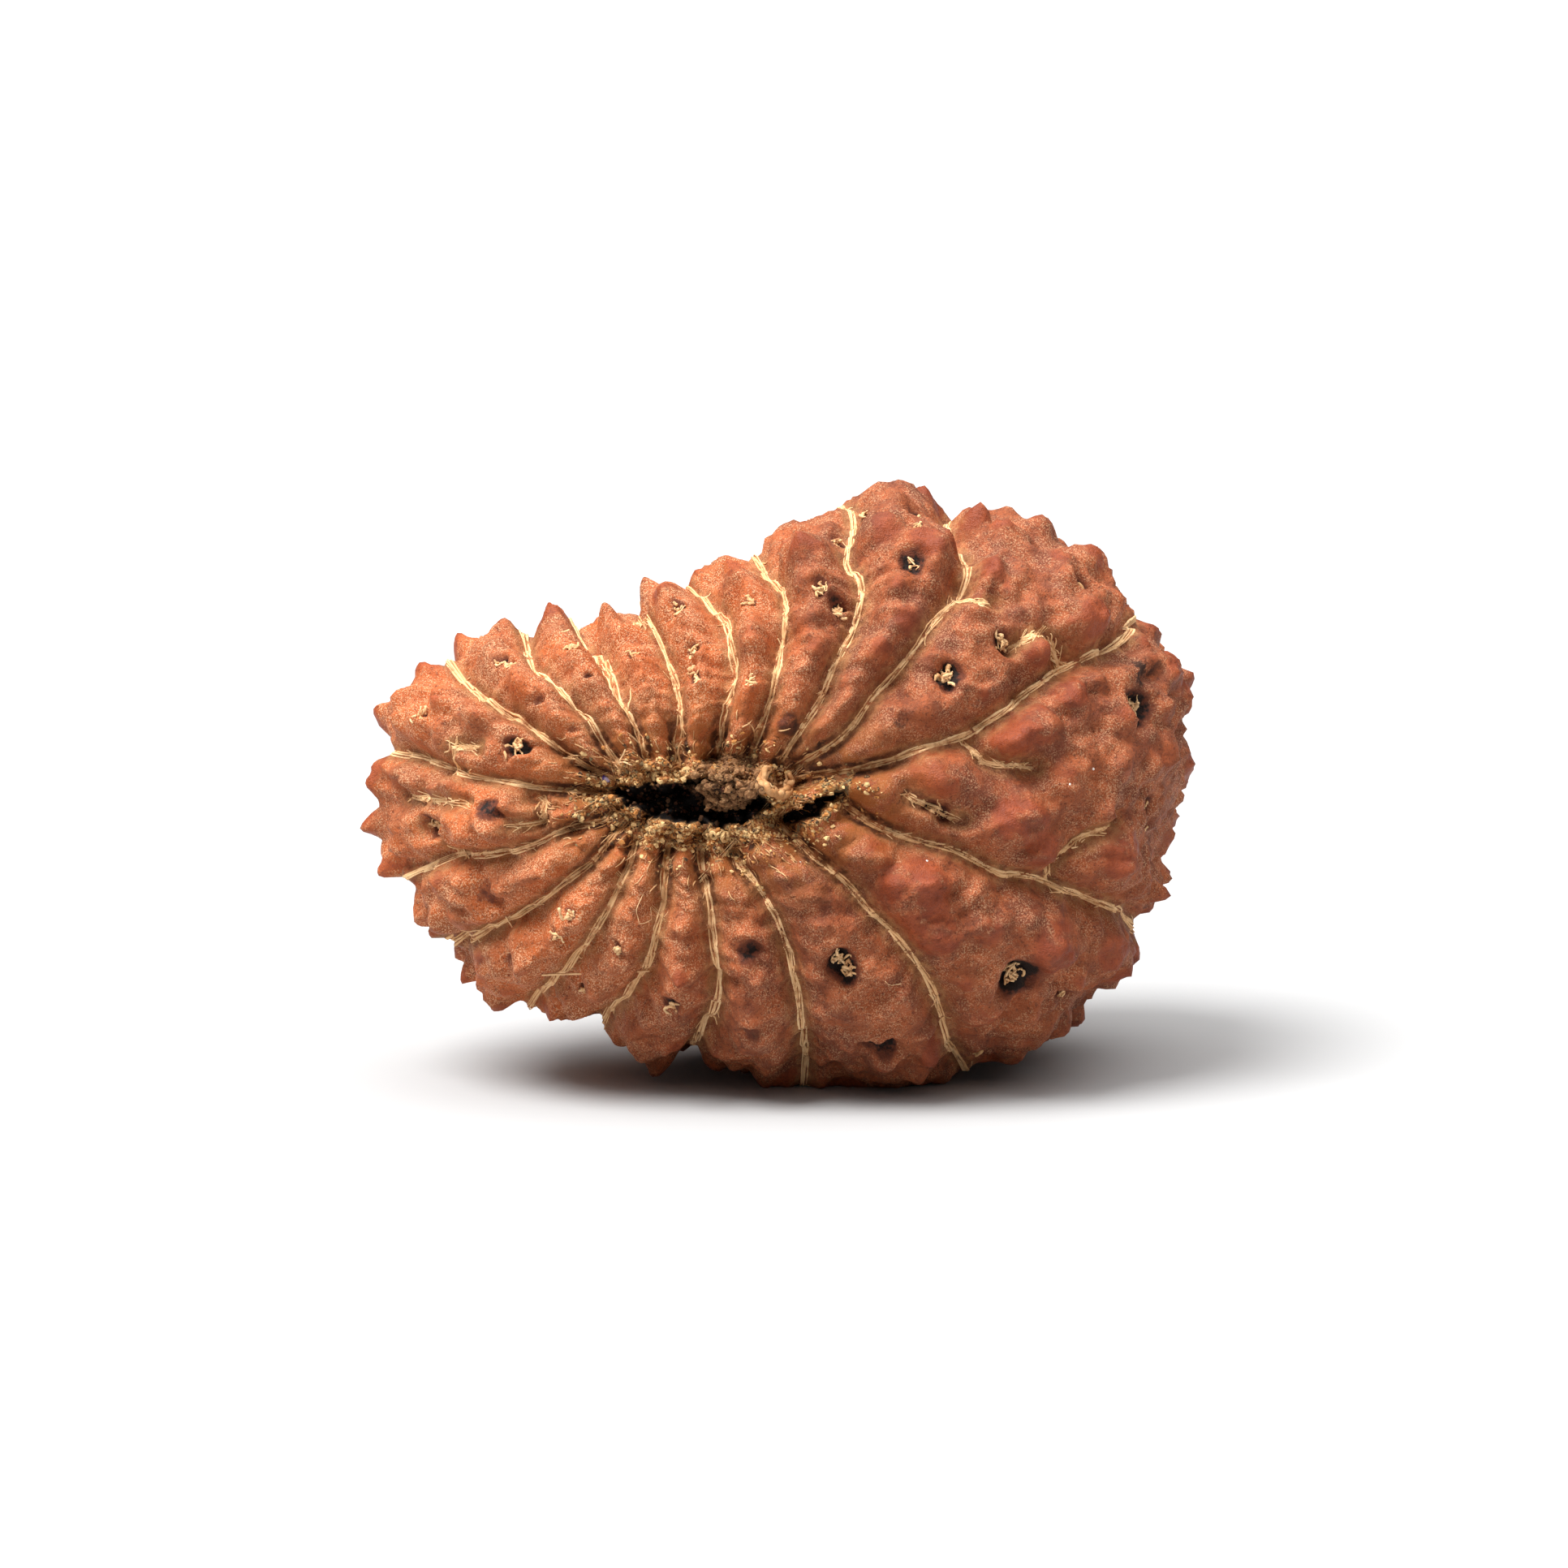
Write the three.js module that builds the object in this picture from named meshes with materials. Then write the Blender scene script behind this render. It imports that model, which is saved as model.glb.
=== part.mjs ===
// A rudraksha seed: a woody stone of eighteen knobbly lobes, grown as one piece. It lies on its
// rim, with the torn slit of its stalk end in front, and rests on a small flat spot.
import * as THREE from "three";
import { mergeVertices } from "three/addons/utils/BufferGeometryUtils.js";

// Driving sizes, in millimetres and degrees. The slit's middle is the origin of the seed's own
// axes, and its end faces -Y.
const FRONT_DEPTH = 9.0;
const BACK_DEPTH = 9.5;
const FULLNESS = 2.35;
const BACK_SHIFT_X = 2.8;
const BACK_SHIFT_Z = 0.3;
const BACK_SLOPE = 0.015;
const LEAN_DEG = 10;
const FLAT_SPOT = 0.75;
const CELLS = 31;
const SEED = 4021;

// Valleys between the lobes: their depth on the front, and what the rim, the far side and the
// slit's surroundings add to it.
const VALLEY_WIDTH = 0.72;
const VALLEY_DEPTH = 0.6;
const VALLEY_AT_RIM = -0.22;
const VALLEY_BEHIND = 0.2;
const VALLEY_AT_SLIT = 0.3;
const SLIT_SURROUNDINGS = 3.2;
const VALLEY_FILL = 0.92;

// Veins in the valleys, how they wander behind the rim, and short side veins.
const STRAND_WIDTH = 0.16;
const STRAND_HEIGHT = 0.13;
const TWIG_WIDTH = 0.35;
const TWIG_DEPTH = 0.14;
const FAR_END_DEG = 173;
const WANDER_DEG = 4;
const WANDER_RATE = 3.2;
const BEND_REACH = 0.5;
const STEEPEST_BEND = 0.35;

// The slit in its funnel, the hole beside it, the crust at its edge and the curled lip.
const SLIT_DEPTH = 2.6;
const SIDE_HOLE_DEPTH = 1.4;
const PLUG_HEIGHT = 2.0;
const FUNNEL_DEPTH = 0.8;
const FUNNEL_WIDTH = 1.9;
const CRUST_HEIGHT = 0.3;
const CRUST_WIDTH = 0.5;
const CRUST_ROUGHNESS = 0.08;
const SLIT_RAGGEDNESS = 0.09;
const CURL_HEIGHT = 0.35;
const CURL_WIDTH = 0.2;

// The scar at the far end: a small deep hole in a wider dent, each with its half width as a turn.
const SCAR = [{ depth: 0.9, turn: 0.09 }, { depth: 0.35, turn: 0.3 }];

// Knobs, and pits with a low lip round each.
const KNOB_SHARPNESS = 2.6;
const PIT_SHARPNESS = 3.2;
const LIP_SHARPNESS = 2;
const FACE_KNOB_RISE = 1.5;
const LEAST_RIM_KNOB = 0.25;
const PIT_SPREAD = 1.15;
const LIP_SPREAD = 1.7;
const LIP_HEIGHT = 0.2;

// Rows of drawn knobs and pits over the lobes, by turn over the seed in degrees from the slit,
// with their spacing along a row, and the range of each one's width and height.
const FRONT_ROWS = { first: 38, last: 80, gap: 9, spacing: 1.9 };
const FRONT_KNOB = { width: [0.4, 0.62], height: [0.2, 0.5] };
const FAR_ROWS = { first: 106, last: 166, gap: 8.5, spacing: 1.5 };
const FAR_KNOB = { width: [0.5, 0.85], height: [0.4, 0.85] };
const FAR_PIT = { width: [0.32, 0.55], height: [0.35, 0.7] };
const FAR_PIT_SHARE = 0.22;
const FAR_KNOB_SHARE = 0.66;

// Lumps all over the seed: size and height of each kind.
const BROAD_LUMPS = [4.5, 0.14];
const MIDDLE_LUMPS = [1.9, 0.07];
const SMALL_LUMPS = [0.8, 0.028];

// Rim without its knobs: angle round the slit in degrees, radius in mm.
const OUTLINE = [
  [0, 16.8], [8, 17.15], [15, 17.55], [24, 17.2], [30, 16.6], [37, 15.6], [43, 14.7], [50, 13.75],
  [56, 13.2], [61, 12.55], [66, 11.7], [70, 10.6], [75, 9.7], [82, 8.75], [90, 8.25], [98, 7.8],
  [105, 7.8], [111, 7.2], [118, 7.5], [123, 7.5], [128, 8.5], [133, 8.7], [139, 9.3], [147, 10.2],
  [155, 10.85], [165, 11.75], [174, 11.9], [181, 11.6], [190, 11.4], [196, 11.3], [205, 10.8],
  [216, 10.35], [225, 10.1], [232, 9.65], [240, 9.0], [249, 9.1], [259, 9.4], [267, 9.3], [276, 9.5],
  [284, 10.1], [290, 10.8], [297, 11.15], [303, 11.9], [309, 12.7], [315, 13.7], [321, 14.15],
  [327, 14.95], [333, 15.4], [339, 16.15], [344, 16.2], [349, 16.75], [354, 16.45],
];

// Veins on the front, from the slit out to the rim: x, z in mm.
const VEINS = [
  [[-3.45, 0.8], [-4.0, 1.2], [-4.7, 1.55], [-5.6, 2.3], [-6.85, 3.4], [-7.9, 4.05], [-9.2, 5.0]],
  [[-2.95, 1.05], [-3.3, 1.75], [-3.75, 2.4], [-4.2, 3.35], [-5.15, 4.55], [-6.25, 5.55],
    [-6.5, 6.05]],
  [[-1.9, 1.0], [-2.0, 1.6], [-2.1, 2.05], [-2.5, 3.35], [-3.05, 4.5], [-3.65, 5.8], [-4.25, 6.25]],
  [[-0.85, 1.05], [-0.95, 1.75], [-1.0, 2.8], [-1.2, 4.5], [-1.7, 6.05], [-2.15, 6.85]],
  [[0.35, 1.7], [0.45, 2.5], [0.6, 3.35], [0.85, 4.8], [0.7, 5.95], [0.4, 7.2], [-0.2, 7.8]],
  [[1.75, 1.5], [1.95, 2.2], [2.3, 3.25], [2.65, 4.5], [2.85, 6.75], [2.55, 8.0], [1.95, 8.7]],
  [[2.9, 1.4], [3.25, 2.0], [3.65, 2.6], [4.25, 3.65], [4.75, 4.9], [5.35, 6.25], [5.8, 7.8],
    [5.6, 8.9], [5.15, 9.55]],
  [[3.3, 1.1], [3.95, 1.5], [4.75, 2.0], [5.6, 2.8], [6.4, 3.95], [7.75, 5.6], [8.6, 6.85],
    [9.55, 7.9], [9.75, 9.3], [9.35, 9.9]],
  [[3.4, 0.65], [3.95, 0.9], [5.6, 1.1], [6.8, 1.4], [8.05, 1.85], [9.6, 2.3], [10.55, 2.8],
    [11.9, 3.75], [13.1, 4.7], [14.45, 5.45], [15.4, 5.8]],
  [[5.3, -0.25], [6.3, -0.9], [7.45, -1.4], [9.1, -1.8], [10.1, -2.3], [11.0, -2.75], [12.4, -3.0],
    [13.75, -3.55], [14.75, -3.95], [15.6, -4.2]],
  [[2.75, -0.7], [3.1, -1.05], [4.05, -2.05], [5.3, -3.1], [6.2, -4.2], [7.45, -5.55],
    [8.25, -6.8], [8.8, -8.0], [9.0, -9.15]],
  [[1.1, -1.6], [1.3, -2.45], [2.15, -3.5], [2.65, -4.55], [3.05, -5.95], [3.4, -7.6],
    [3.6, -9.05], [3.6, -9.7]],
  [[-0.1, -1.5], [-0.1, -2.45], [0.2, -3.9], [0.3, -5.35], [0.5, -6.8], [0.4, -7.8], [0.0, -8.75],
    [-0.45, -9.25]],
  [[-1.2, -1.4], [-1.4, -2.55], [-1.55, -4.3], [-1.9, -5.65], [-2.3, -6.9], [-2.9, -7.7],
    [-3.55, -8.1]],
  [[-2.2, -0.95], [-2.6, -1.6], [-2.9, -2.95], [-3.55, -4.3], [-4.25, -5.55], [-5.2, -6.7],
    [-5.8, -7.3], [-6.4, -7.6]],
  [[-2.85, -0.75], [-3.3, -1.3], [-4.25, -2.55], [-5.2, -3.3], [-6.4, -4.3], [-7.7, -4.95],
    [-9.0, -5.25]],
  [[-3.4, -0.3], [-3.7, -0.8], [-4.35, -1.0], [-5.6, -1.4], [-6.65, -1.9], [-7.95, -2.25],
    [-9.55, -2.35], [-10.4, -2.7]],
  [[-3.85, 0.35], [-5.8, 0.4], [-7.25, 0.65], [-8.7, 0.9], [-9.75, 1.2], [-11.15, 1.8]],
];

// Short side veins on the front: x, z in mm.
const BRANCHES = [
  [[-9.75, 1.3], [-9.4, 2.0], [-8.4, 2.1]],
  [[-11.2, 0.1], [-10.4, 0.0], [-9.4, -0.1], [-8.5, -0.3]],
  [[-9.55, -2.3], [-9.75, -1.2], [-10.4, -1.1]],
  [[9.75, 2.3], [10.15, 1.6], [10.8, 1.25], [12.2, 1.2]],
  [[13.9, 5.2], [13.25, 5.8], [12.5, 6.15]],
  [[12.5, 6.15], [11.9, 6.0], [11.4, 5.6]],
  [[9.3, 7.6], [9.95, 7.15], [10.65, 7.2]],
  [[7.45, 0.1], [8.5, -0.4], [9.3, -0.75]],
  [[13.1, -3.2], [13.2, -2.4], [13.75, -1.5], [14.7, -0.8]],
  [[-6.9, -1.0], [-6.1, -0.9], [-6.0, -0.2], [-6.5, 0.1]],
];

// Knobs on the rim: angle round the slit in degrees, reach from its middle in mm, width in mm.
const RIM_KNOBS = [
  [174.0, 12.6, 0.65], [170.0, 12.3, 0.45], [165.8, 12.35, 0.5], [161.5, 11.6, 0.4], [153.9, 11.3, 0.65],
  [148.6, 11.1, 0.5], [144.5, 10.0, 0.4], [139.3, 9.95, 0.5], [129.0, 9.35, 0.75],
  [116.5, 7.85, 0.5], [109.9, 7.4, 0.5], [103.3, 8.2, 0.6], [97.5, 8.4, 0.6], [92.0, 8.6, 0.6],
  [85.0, 8.75, 0.6],
  [80.9, 8.95, 0.4], [76.0, 9.8, 0.65], [69.0, 10.9, 0.9], [65.0, 12.4, 0.7], [56.5, 13.55, 0.8],
  [52.7, 14.15, 0.8], [47.4, 14.5, 0.55], [42.4, 15.0, 0.4], [38.6, 15.8, 0.5], [32.0, 16.5, 0.6],
  [29.2, 17.1, 0.6], [25.8, 17.2, 0.5], [22.0, 17.9, 0.85], [13.5, 18.0, 0.9], [8.6, 17.35, 0.6],
  [1.5, 17.1, 1.2], [-6.6, 16.8, 0.8], [-11.8, 17.5, 0.55], [-18.0, 16.8, 1.0], [-22.0, 16.7, 0.8],
  [-27.5, 15.6, 0.7], [-31.4, 15.6, 0.7], [-34.8, 14.8, 0.6], [-39.9, 14.6, 0.8],
  [-44.6, 14.3, 0.8], [-49.6, 13.3, 0.8], [-56.0, 12.75, 0.9], [-62.0, 12.0, 0.8],
  [-67.2, 11.9, 0.7], [-71.8, 11.65, 0.75], [-76.1, 10.75, 0.6], [-83.4, 9.8, 0.7],
  [-87.8, 9.9, 0.5], [-92.7, 9.6, 0.5], [-99.2, 10.1, 0.65], [-106.0, 9.5, 0.4], [-111.0, 9.6, 0.5],
  [-120.9, 9.3, 0.5], [-125.4, 9.9, 0.6], [-128.6, 10.3, 0.6], [-136.0, 10.7, 0.6],
  [-144.1, 11.0, 0.35], [-149.5, 11.1, 0.5], [-152.6, 11.45, 0.5], [-157.5, 11.4, 0.5], [-161.7, 11.75, 0.5],
  [-167.6, 12.15, 0.6], [-176.0, 12.1, 0.6],
];

// Knobs and low hills on the front: x, z, width, height in mm.
const FACE_KNOBS = [
  [-10.75, -2.8, 0.5, 0.5], [-9.8, -2.95, 0.5, 0.5], [-8.15, -5.4, 0.6, 0.45],
  [-9.1, -5.55, 0.45, 0.4], [-11.7, 0.55, 0.45, 0.4], [-11.5, -0.7, 0.5, 0.4],
  [-7.15, 6.15, 0.6, 0.5], [-9.9, 4.6, 0.6, 0.4], [4.75, 10.6, 0.5, 0.25], [9.8, 10.1, 0.6, 0.5],
  [10.7, 9.7, 0.6, 0.4], [12.1, 9.5, 0.6, 0.3], [14.0, 8.4, 0.85, 0.45], [15.7, 6.95, 0.6, 0.35],
  [16.0, 5.9, 0.7, 0.35], [16.7, 4.5, 0.8, 0.35], [8.45, 1.1, 1.1, 0.5], [11.1, 2.1, 0.8, 0.5],
  [12.1, 2.8, 0.9, 0.55], [13.5, 4.1, 0.9, 0.45], [12.4, 5.45, 0.7, 0.5], [11.2, -0.75, 1.2, 0.5],
  [12.2, -1.8, 0.8, 0.4], [7.65, -3.4, 1.4, 0.6], [8.3, -4.85, 1.0, 0.5], [9.9, 7.05, 0.7, 0.45],
  [14.15, 6.4, 0.9, 0.5], [14.8, -1.9, 1.1, 0.45], [8.0, 8.9, 0.9, 0.4], [10.3, 8.3, 0.8, 0.35],
  [8.4, -9.1, 0.7, 0.5], [4.1, -9.9, 0.7, 0.2], [6.6, 9.6, 0.8, 0.35],
  [3.6, 8.9, 0.8, 0.4], [1.2, 8.0, 0.7, 0.35], [-1.2, 7.3, 0.8, 0.4], [-5.3, 6.9, 0.7, 0.45],
  [12.6, -5.2, 1.2, 0.45], [14.6, -5.4, 0.9, 0.4], [10.0, -7.7, 0.9, 0.4], [6.2, -9.8, 0.8, 0.25],
  [11.6, -8.4, 0.8, 0.25], [16.2, 1.6, 1.2, 0.25], [7.3, 6.4, 0.8, 0.3], [6.3, 5.4, 0.7, 0.3],
  [4.1, 5.6, 0.6, 0.25], [1.7, 5.7, 0.6, 0.25], [12.9, 0.7, 0.9, 0.3], [10.2, -4.6, 0.9, 0.3],
  [5.9, 0.6, 0.8, 0.3], [6.4, -2.0, 0.9, 0.35],
];

// Knobs underneath, behind the rim, that steady the seed: angle round it and turn over it in
// degrees, width and height in mm.
const UNDER_KNOBS = [
  [-84, 116, 0.9, 0.7], [-95, 110, 0.8, 0.5], [93, 99, 0.7, 0.5],
];

// Pits on the front: x, z, width, depth in mm.
const FACE_PITS = [
  [-7.35, 5.2, 0.28, 0.5], [-7.0, 5.1, 0.25, 0.4], [-5.15, 6.35, 0.3, 0.5],
  [-4.75, 5.75, 0.25, 0.3], [-4.05, 4.7, 0.22, 0.5], [-6.1, 3.95, 0.28, 0.35],
  [-10.15, 3.05, 0.25, 0.4], [-8.8, 3.2, 0.2, 0.3], [-7.05, 2.1, 0.45, 0.7], [-2.75, 6.2, 0.2, 0.2],
  [-2.45, 5.4, 0.22, 0.4], [-0.85, 6.85, 0.3, 0.45], [-0.45, 5.6, 0.25, 0.4],
  [-0.6, 5.1, 0.22, 0.35], [-0.35, 4.55, 0.28, 0.4], [1.6, 7.05, 0.25, 0.35],
  [1.75, 4.35, 0.22, 0.3], [-4.8, 2.75, 0.35, 0.25], [-7.65, -0.3, 0.38, 0.5],
  [-10.15, -1.1, 0.45, 0.5], [-7.9, -3.55, 0.55, 0.35], [-4.75, -4.2, 0.28, 0.35],
  [4.45, 7.8, 0.33, 0.5], [4.95, 7.35, 0.33, 0.55], [7.45, 8.4, 0.42, 0.6], [7.75, 10.3, 0.4, 0.5],
  [5.85, 10.6, 0.25, 0.25], [7.7, 9.65, 0.2, 0.2], [9.0, 4.55, 0.48, 0.85], [11.0, 5.8, 0.38, 0.5],
  [13.7, 7.8, 0.38, 0.6], [3.1, 2.75, 0.4, 0.35], [15.8, 3.35, 0.6, 0.9], [8.2, -0.2, 0.3, 0.5],
  [8.7, -0.45, 0.3, 0.5], [4.75, 10.05, 0.3, 0.4], [7.25, 2.95, 0.25, 0.2], [5.0, -5.95, 0.5, 0.8],
  [5.25, -6.3, 0.45, 0.7], [11.4, -6.4, 0.7, 0.9], [6.0, -8.8, 0.4, 0.6], [6.6, -8.85, 0.4, 0.6],
  [12.95, -6.9, 0.33, 0.5], [16.1, -0.2, 0.35, 0.5], [16.1, -1.0, 0.35, 0.5],
  [10.1, -9.3, 0.4, 0.4], [1.6, -9.0, 0.38, 0.5], [-5.25, -4.95, 0.25, 0.3],
  [-2.9, -5.35, 0.27, 0.35], [-6.85, -5.85, 0.4, 0.35], [-7.9, -6.2, 0.3, 0.4],
  [-4.1, -7.0, 0.33, 0.45], [-1.05, -7.5, 0.42, 0.5], [1.7, -5.55, 0.45, 0.5],
  [1.75, -8.05, 0.38, 0.4],
];

// The torn opening and the hole beside it, as chains of round spots: x, z, radius in mm.
const SLIT = [
  [-3.6, 0.3, 0.1], [-2.8, 0.15, 0.42], [-1.7, 0.0, 0.78], [-0.5, -0.1, 0.92], [0.8, -0.15, 0.92],
  [1.8, -0.15, 0.6], [2.4, -0.2, 0.25],
];
const SIDE_HOLE = [[3.3, -0.7, 0.3], [3.9, -0.5, 0.38], [4.5, 0.0, 0.24], [5.3, 0.25, 0.12]];

// The dry pith that half fills the slit, and the curled lip next to it: x, z, radius in mm.
const PLUG = [0.95, 0.75, 1.0];
const CURL = [2.8, 0.75, 0.5];

const FULL_TURN = 2 * Math.PI;
const FAR_STEPS = 70;
const radians = THREE.MathUtils.degToRad;
const clamp = THREE.MathUtils.clamp;
const wrap = (angle) => THREE.MathUtils.euclideanModulo(angle, FULL_TURN);
const bell = (x) => Math.exp(-(x ** 2));

function smoothStep(low, high, x) {
  const t = clamp((x - low) / (high - low), 0, 1);
  return t * t * (3 - 2 * t);
}

// A source of repeatable numbers between two limits.
function makeDraw(seed) {
  let state = seed;
  return (low = 0, high = 1) => {
    state = (state * 48271) % 2147483647;
    return low + ((high - low) * state) / 2147483647;
  };
}

// A smooth curve from p1 to p2 that goes on to p0 and p3.
function through(p0, p1, p2, p3, t) {
  const bend = 2 * p0 - 5 * p1 + 4 * p2 - p3;
  const twist = p3 + 3 * p1 - p0 - 3 * p2;
  return 0.5 * (2 * p1 + (p2 - p0) * t + bend * t ** 2 + twist * t ** 3);
}

// Points at about one step from each other on a smooth line through a list of x, z.
function curve(points, step) {
  const mirrored = (a, b) => [2 * a[0] - b[0], 2 * a[1] - b[1]];
  const p = [mirrored(points[0], points[1]), ...points, mirrored(points.at(-1), points.at(-2))];
  const out = [];
  for (let i = 1; i < p.length - 2; i += 1) {
    const length = Math.hypot(p[i + 1][0] - p[i][0], p[i + 1][1] - p[i][1]);
    const count = Math.max(2, Math.floor(length / step));
    const at = (axis, t) => through(p[i - 1][axis], p[i][axis], p[i + 1][axis], p[i + 2][axis], t);
    for (let k = 0; k < count; k += 1) {
      out.push([at(0, k / count), at(1, k / count)]);
    }
  }
  out.push(points.at(-1));
  return out;
}

function outlineRadius(theta) {
  const n = OUTLINE.length;
  const degrees = THREE.MathUtils.radToDeg(wrap(theta));
  const i = OUTLINE.findLastIndex(([angle]) => angle <= degrees);
  const end = i + 1 < n ? OUTLINE[i + 1][0] : 360;
  const radius = (k) => OUTLINE[(k + n) % n][1];
  const t = (degrees - OUTLINE[i][0]) / (end - OUTLINE[i][0]);
  return through(radius(i - 1), radius(i), radius(i + 1), radius(i + 2), t);
}

// The seed without its relief. theta goes round the slit, and v over the seed from the slit.
function smoothSeed(theta, v) {
  const reach = outlineRadius(theta) * Math.abs(Math.sin(v)) ** (2 / FULLNESS);
  const c = Math.cos(v);
  const along = Math.sign(c) * Math.abs(c) ** (2 / FULLNESS);
  const backDepth = BACK_DEPTH * (1 + BACK_SLOPE * reach * Math.cos(theta));
  const depth = along > 0 ? FRONT_DEPTH : backDepth;
  const lean = smoothStep(0, 1, -along);
  return new THREE.Vector3(
    reach * Math.cos(theta) + BACK_SHIFT_X * lean,
    -depth * along,
    reach * Math.sin(theta) + BACK_SHIFT_Z * lean,
  );
}

function seedNormal(theta, turn) {
  const e = 1e-4;
  const v = clamp(turn, 2e-3, Math.PI - 2e-3);
  const round = smoothSeed(theta + e, v).sub(smoothSeed(theta - e, v));
  const over = smoothSeed(theta, v + e).sub(smoothSeed(theta, v - e));
  return over.cross(round).normalize();
}

// The angles of the front's point seen at x, z.
function facePlace(x, z) {
  const theta = Math.atan2(z, x);
  const share = Math.min(Math.hypot(x, z) / outlineRadius(theta), 0.9995);
  return { theta, v: Math.asin(share ** (FULLNESS / 2)) };
}

function onFace(x, z) {
  const { theta, v } = facePlace(x, z);
  return smoothSeed(theta, v);
}

// Each vein: its front run, and the bend and phase that take it over the rim to the far end.
function makeVeins() {
  const draw = makeDraw(SEED);
  return VEINS.map((points) => {
    const front = curve(points, 0.35).map(([x, z]) => facePlace(x, z));
    for (let i = 1; i < front.length; i += 1) {
      const step = front[i].theta - front[i - 1].theta;
      front[i].theta -= FULL_TURN * Math.round(step / FULL_TURN);
    }
    const end = front.at(-1);
    const before = front.at(-4);
    const bend = (end.theta - before.theta) / Math.max(end.v - before.v, 0.05);
    return {
      front,
      end,
      bend: clamp(bend, -STEEPEST_BEND, STEEPEST_BEND),
      phase: draw(0, FULL_TURN),
    };
  });
}

// The angle round the seed of a vein's far run.
function farTheta({ end, bend, phase }, v) {
  const run = v - end.v;
  const wander = radians(WANDER_DEG) * Math.sin(WANDER_RATE * run + phase);
  const fade = Math.min(run / BEND_REACH, 1);
  return end.theta + bend * run * Math.exp(-run / BEND_REACH) + wander * fade;
}

function veinTheta(vein, v) {
  if (v > vein.end.v) return farTheta(vein, v);
  const next = vein.front.findIndex((place) => place.v >= v);
  if (next <= 0) return vein.front[0].theta;
  const [a, b] = [vein.front[next - 1], vein.front[next]];
  return THREE.MathUtils.mapLinear(v, a.v, b.v, a.theta, b.theta);
}

// A line on the smooth seed, as the start and step of each of its short straight stretches.
function makeLine(places) {
  const points = places.map(({ theta, v }) => smoothSeed(theta, v));
  return points.slice(1).map((end, i) => ({ start: points[i], step: end.clone().sub(points[i]) }));
}

function wholeRun(vein) {
  const farEnd = radians(FAR_END_DEG);
  const far = [];
  for (let i = 1; i < FAR_STEPS; i += 1) {
    const v = vein.end.v + ((farEnd - vein.end.v) * i) / (FAR_STEPS - 1);
    far.push({ theta: farTheta(vein, v), v });
  }
  return makeLine([...vein.front, ...far]);
}

function lineDistance(p, line) {
  let best = Infinity;
  for (const { start, step } of line) {
    const t = clamp(p.clone().sub(start).dot(step) / step.lengthSq(), 0, 1);
    best = Math.min(best, start.clone().addScaledVector(step, t).distanceTo(p));
  }
  return best;
}

// How far outside a chain of round spots a point of the front is.
function chainDistance(x, z, chain) {
  let best = Infinity;
  for (let i = 1; i < chain.length; i += 1) {
    const [ax, az, ar] = chain[i - 1];
    const [bx, bz, br] = chain[i];
    const [dx, dz] = [bx - ax, bz - az];
    const t = clamp(((x - ax) * dx + (z - az) * dz) / (dx * dx + dz * dz), 0, 1);
    best = Math.min(best, Math.hypot(x - ax - t * dx, z - az - t * dz) - ar - t * (br - ar));
  }
  return best;
}

// Sine waves in drawn directions that add up to lumps of one size.
function makeLumps(size) {
  const count = 14;
  const draw = makeDraw(SEED + Math.round(100 * size));
  const waves = [];
  for (let i = 0; i < count; i += 1) {
    const up = draw(-1, 1);
    const turn = draw(0, FULL_TURN);
    const flat = Math.sqrt(1 - up * up);
    const k = FULL_TURN / (size * draw(0.75, 1.35));
    const direction = new THREE.Vector3(flat * Math.cos(turn), flat * Math.sin(turn), up);
    waves.push({ direction: direction.multiplyScalar(k), phase: draw(0, FULL_TURN) });
  }
  const scale = Math.sqrt(2 / count);
  const wave = (p, { direction, phase }) => Math.sin(p.dot(direction) + phase);
  return (p) => scale * waves.reduce((sum, item) => sum + wave(p, item), 0);
}

// Rounded bumps that melt into each other where they meet.
function bumpSum(p, bumps, sharpness) {
  let total = 0;
  for (const { place, width, height } of bumps) {
    const d = p.distanceTo(place) / width;
    if (d < 3) total += (height * Math.exp(-(d ** sharpness))) ** 3;
  }
  return Math.cbrt(total);
}

const veins = makeVeins();

function rimKnobs() {
  const draw = makeDraw(SEED + 1);
  return RIM_KNOBS.map(([degrees, reach, width]) => {
    const theta = radians(degrees);
    const place = smoothSeed(theta, radians(88 + draw(-7, 5)));
    return { place, width, height: Math.max(reach - outlineRadius(theta), LEAST_RIM_KNOB) };
  });
}

function faceKnobs() {
  return FACE_KNOBS.map(([x, z, width, height]) => (
    { place: onFace(x, z), width, height: FACE_KNOB_RISE * height }
  ));
}

function underKnobs() {
  return UNDER_KNOBS.map(([angle, turn, width, height]) => (
    { place: smoothSeed(radians(angle), radians(turn)), width, height }
  ));
}

function facePits() {
  return FACE_PITS.map(([x, z, width, depth]) => (
    { place: onFace(x, z), width: PIT_SPREAD * width, height: depth }
  ));
}

// Places in rows across each lobe, with how much room each has there.
function lobeRows({ first, last, gap, spacing }, draw) {
  const places = [];
  veins.forEach((left, i) => {
    const right = veins[(i + 1) % veins.length];
    for (let k = 0; k <= Math.floor((last - first) / gap); k += 1) {
      const row = radians(first + gap * (k + draw(-0.25, 0.25)));
      const start = veinTheta(left, row);
      const width = wrap(start - veinTheta(right, row));
      const span = width * outlineRadius(start) * Math.sin(row) ** (2 / FULLNESS);
      const count = Math.max(1, Math.round(span / spacing));
      for (let j = 0; j < count; j += 1) {
        const theta = start - (width * (j + 0.5 + draw(-0.22, 0.22))) / count;
        const v = row + radians(draw(-2.5, 2.5));
        places.push({ place: smoothSeed(theta, v), room: Math.min(1, span / count / spacing) });
      }
    }
  });
  return places;
}

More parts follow.
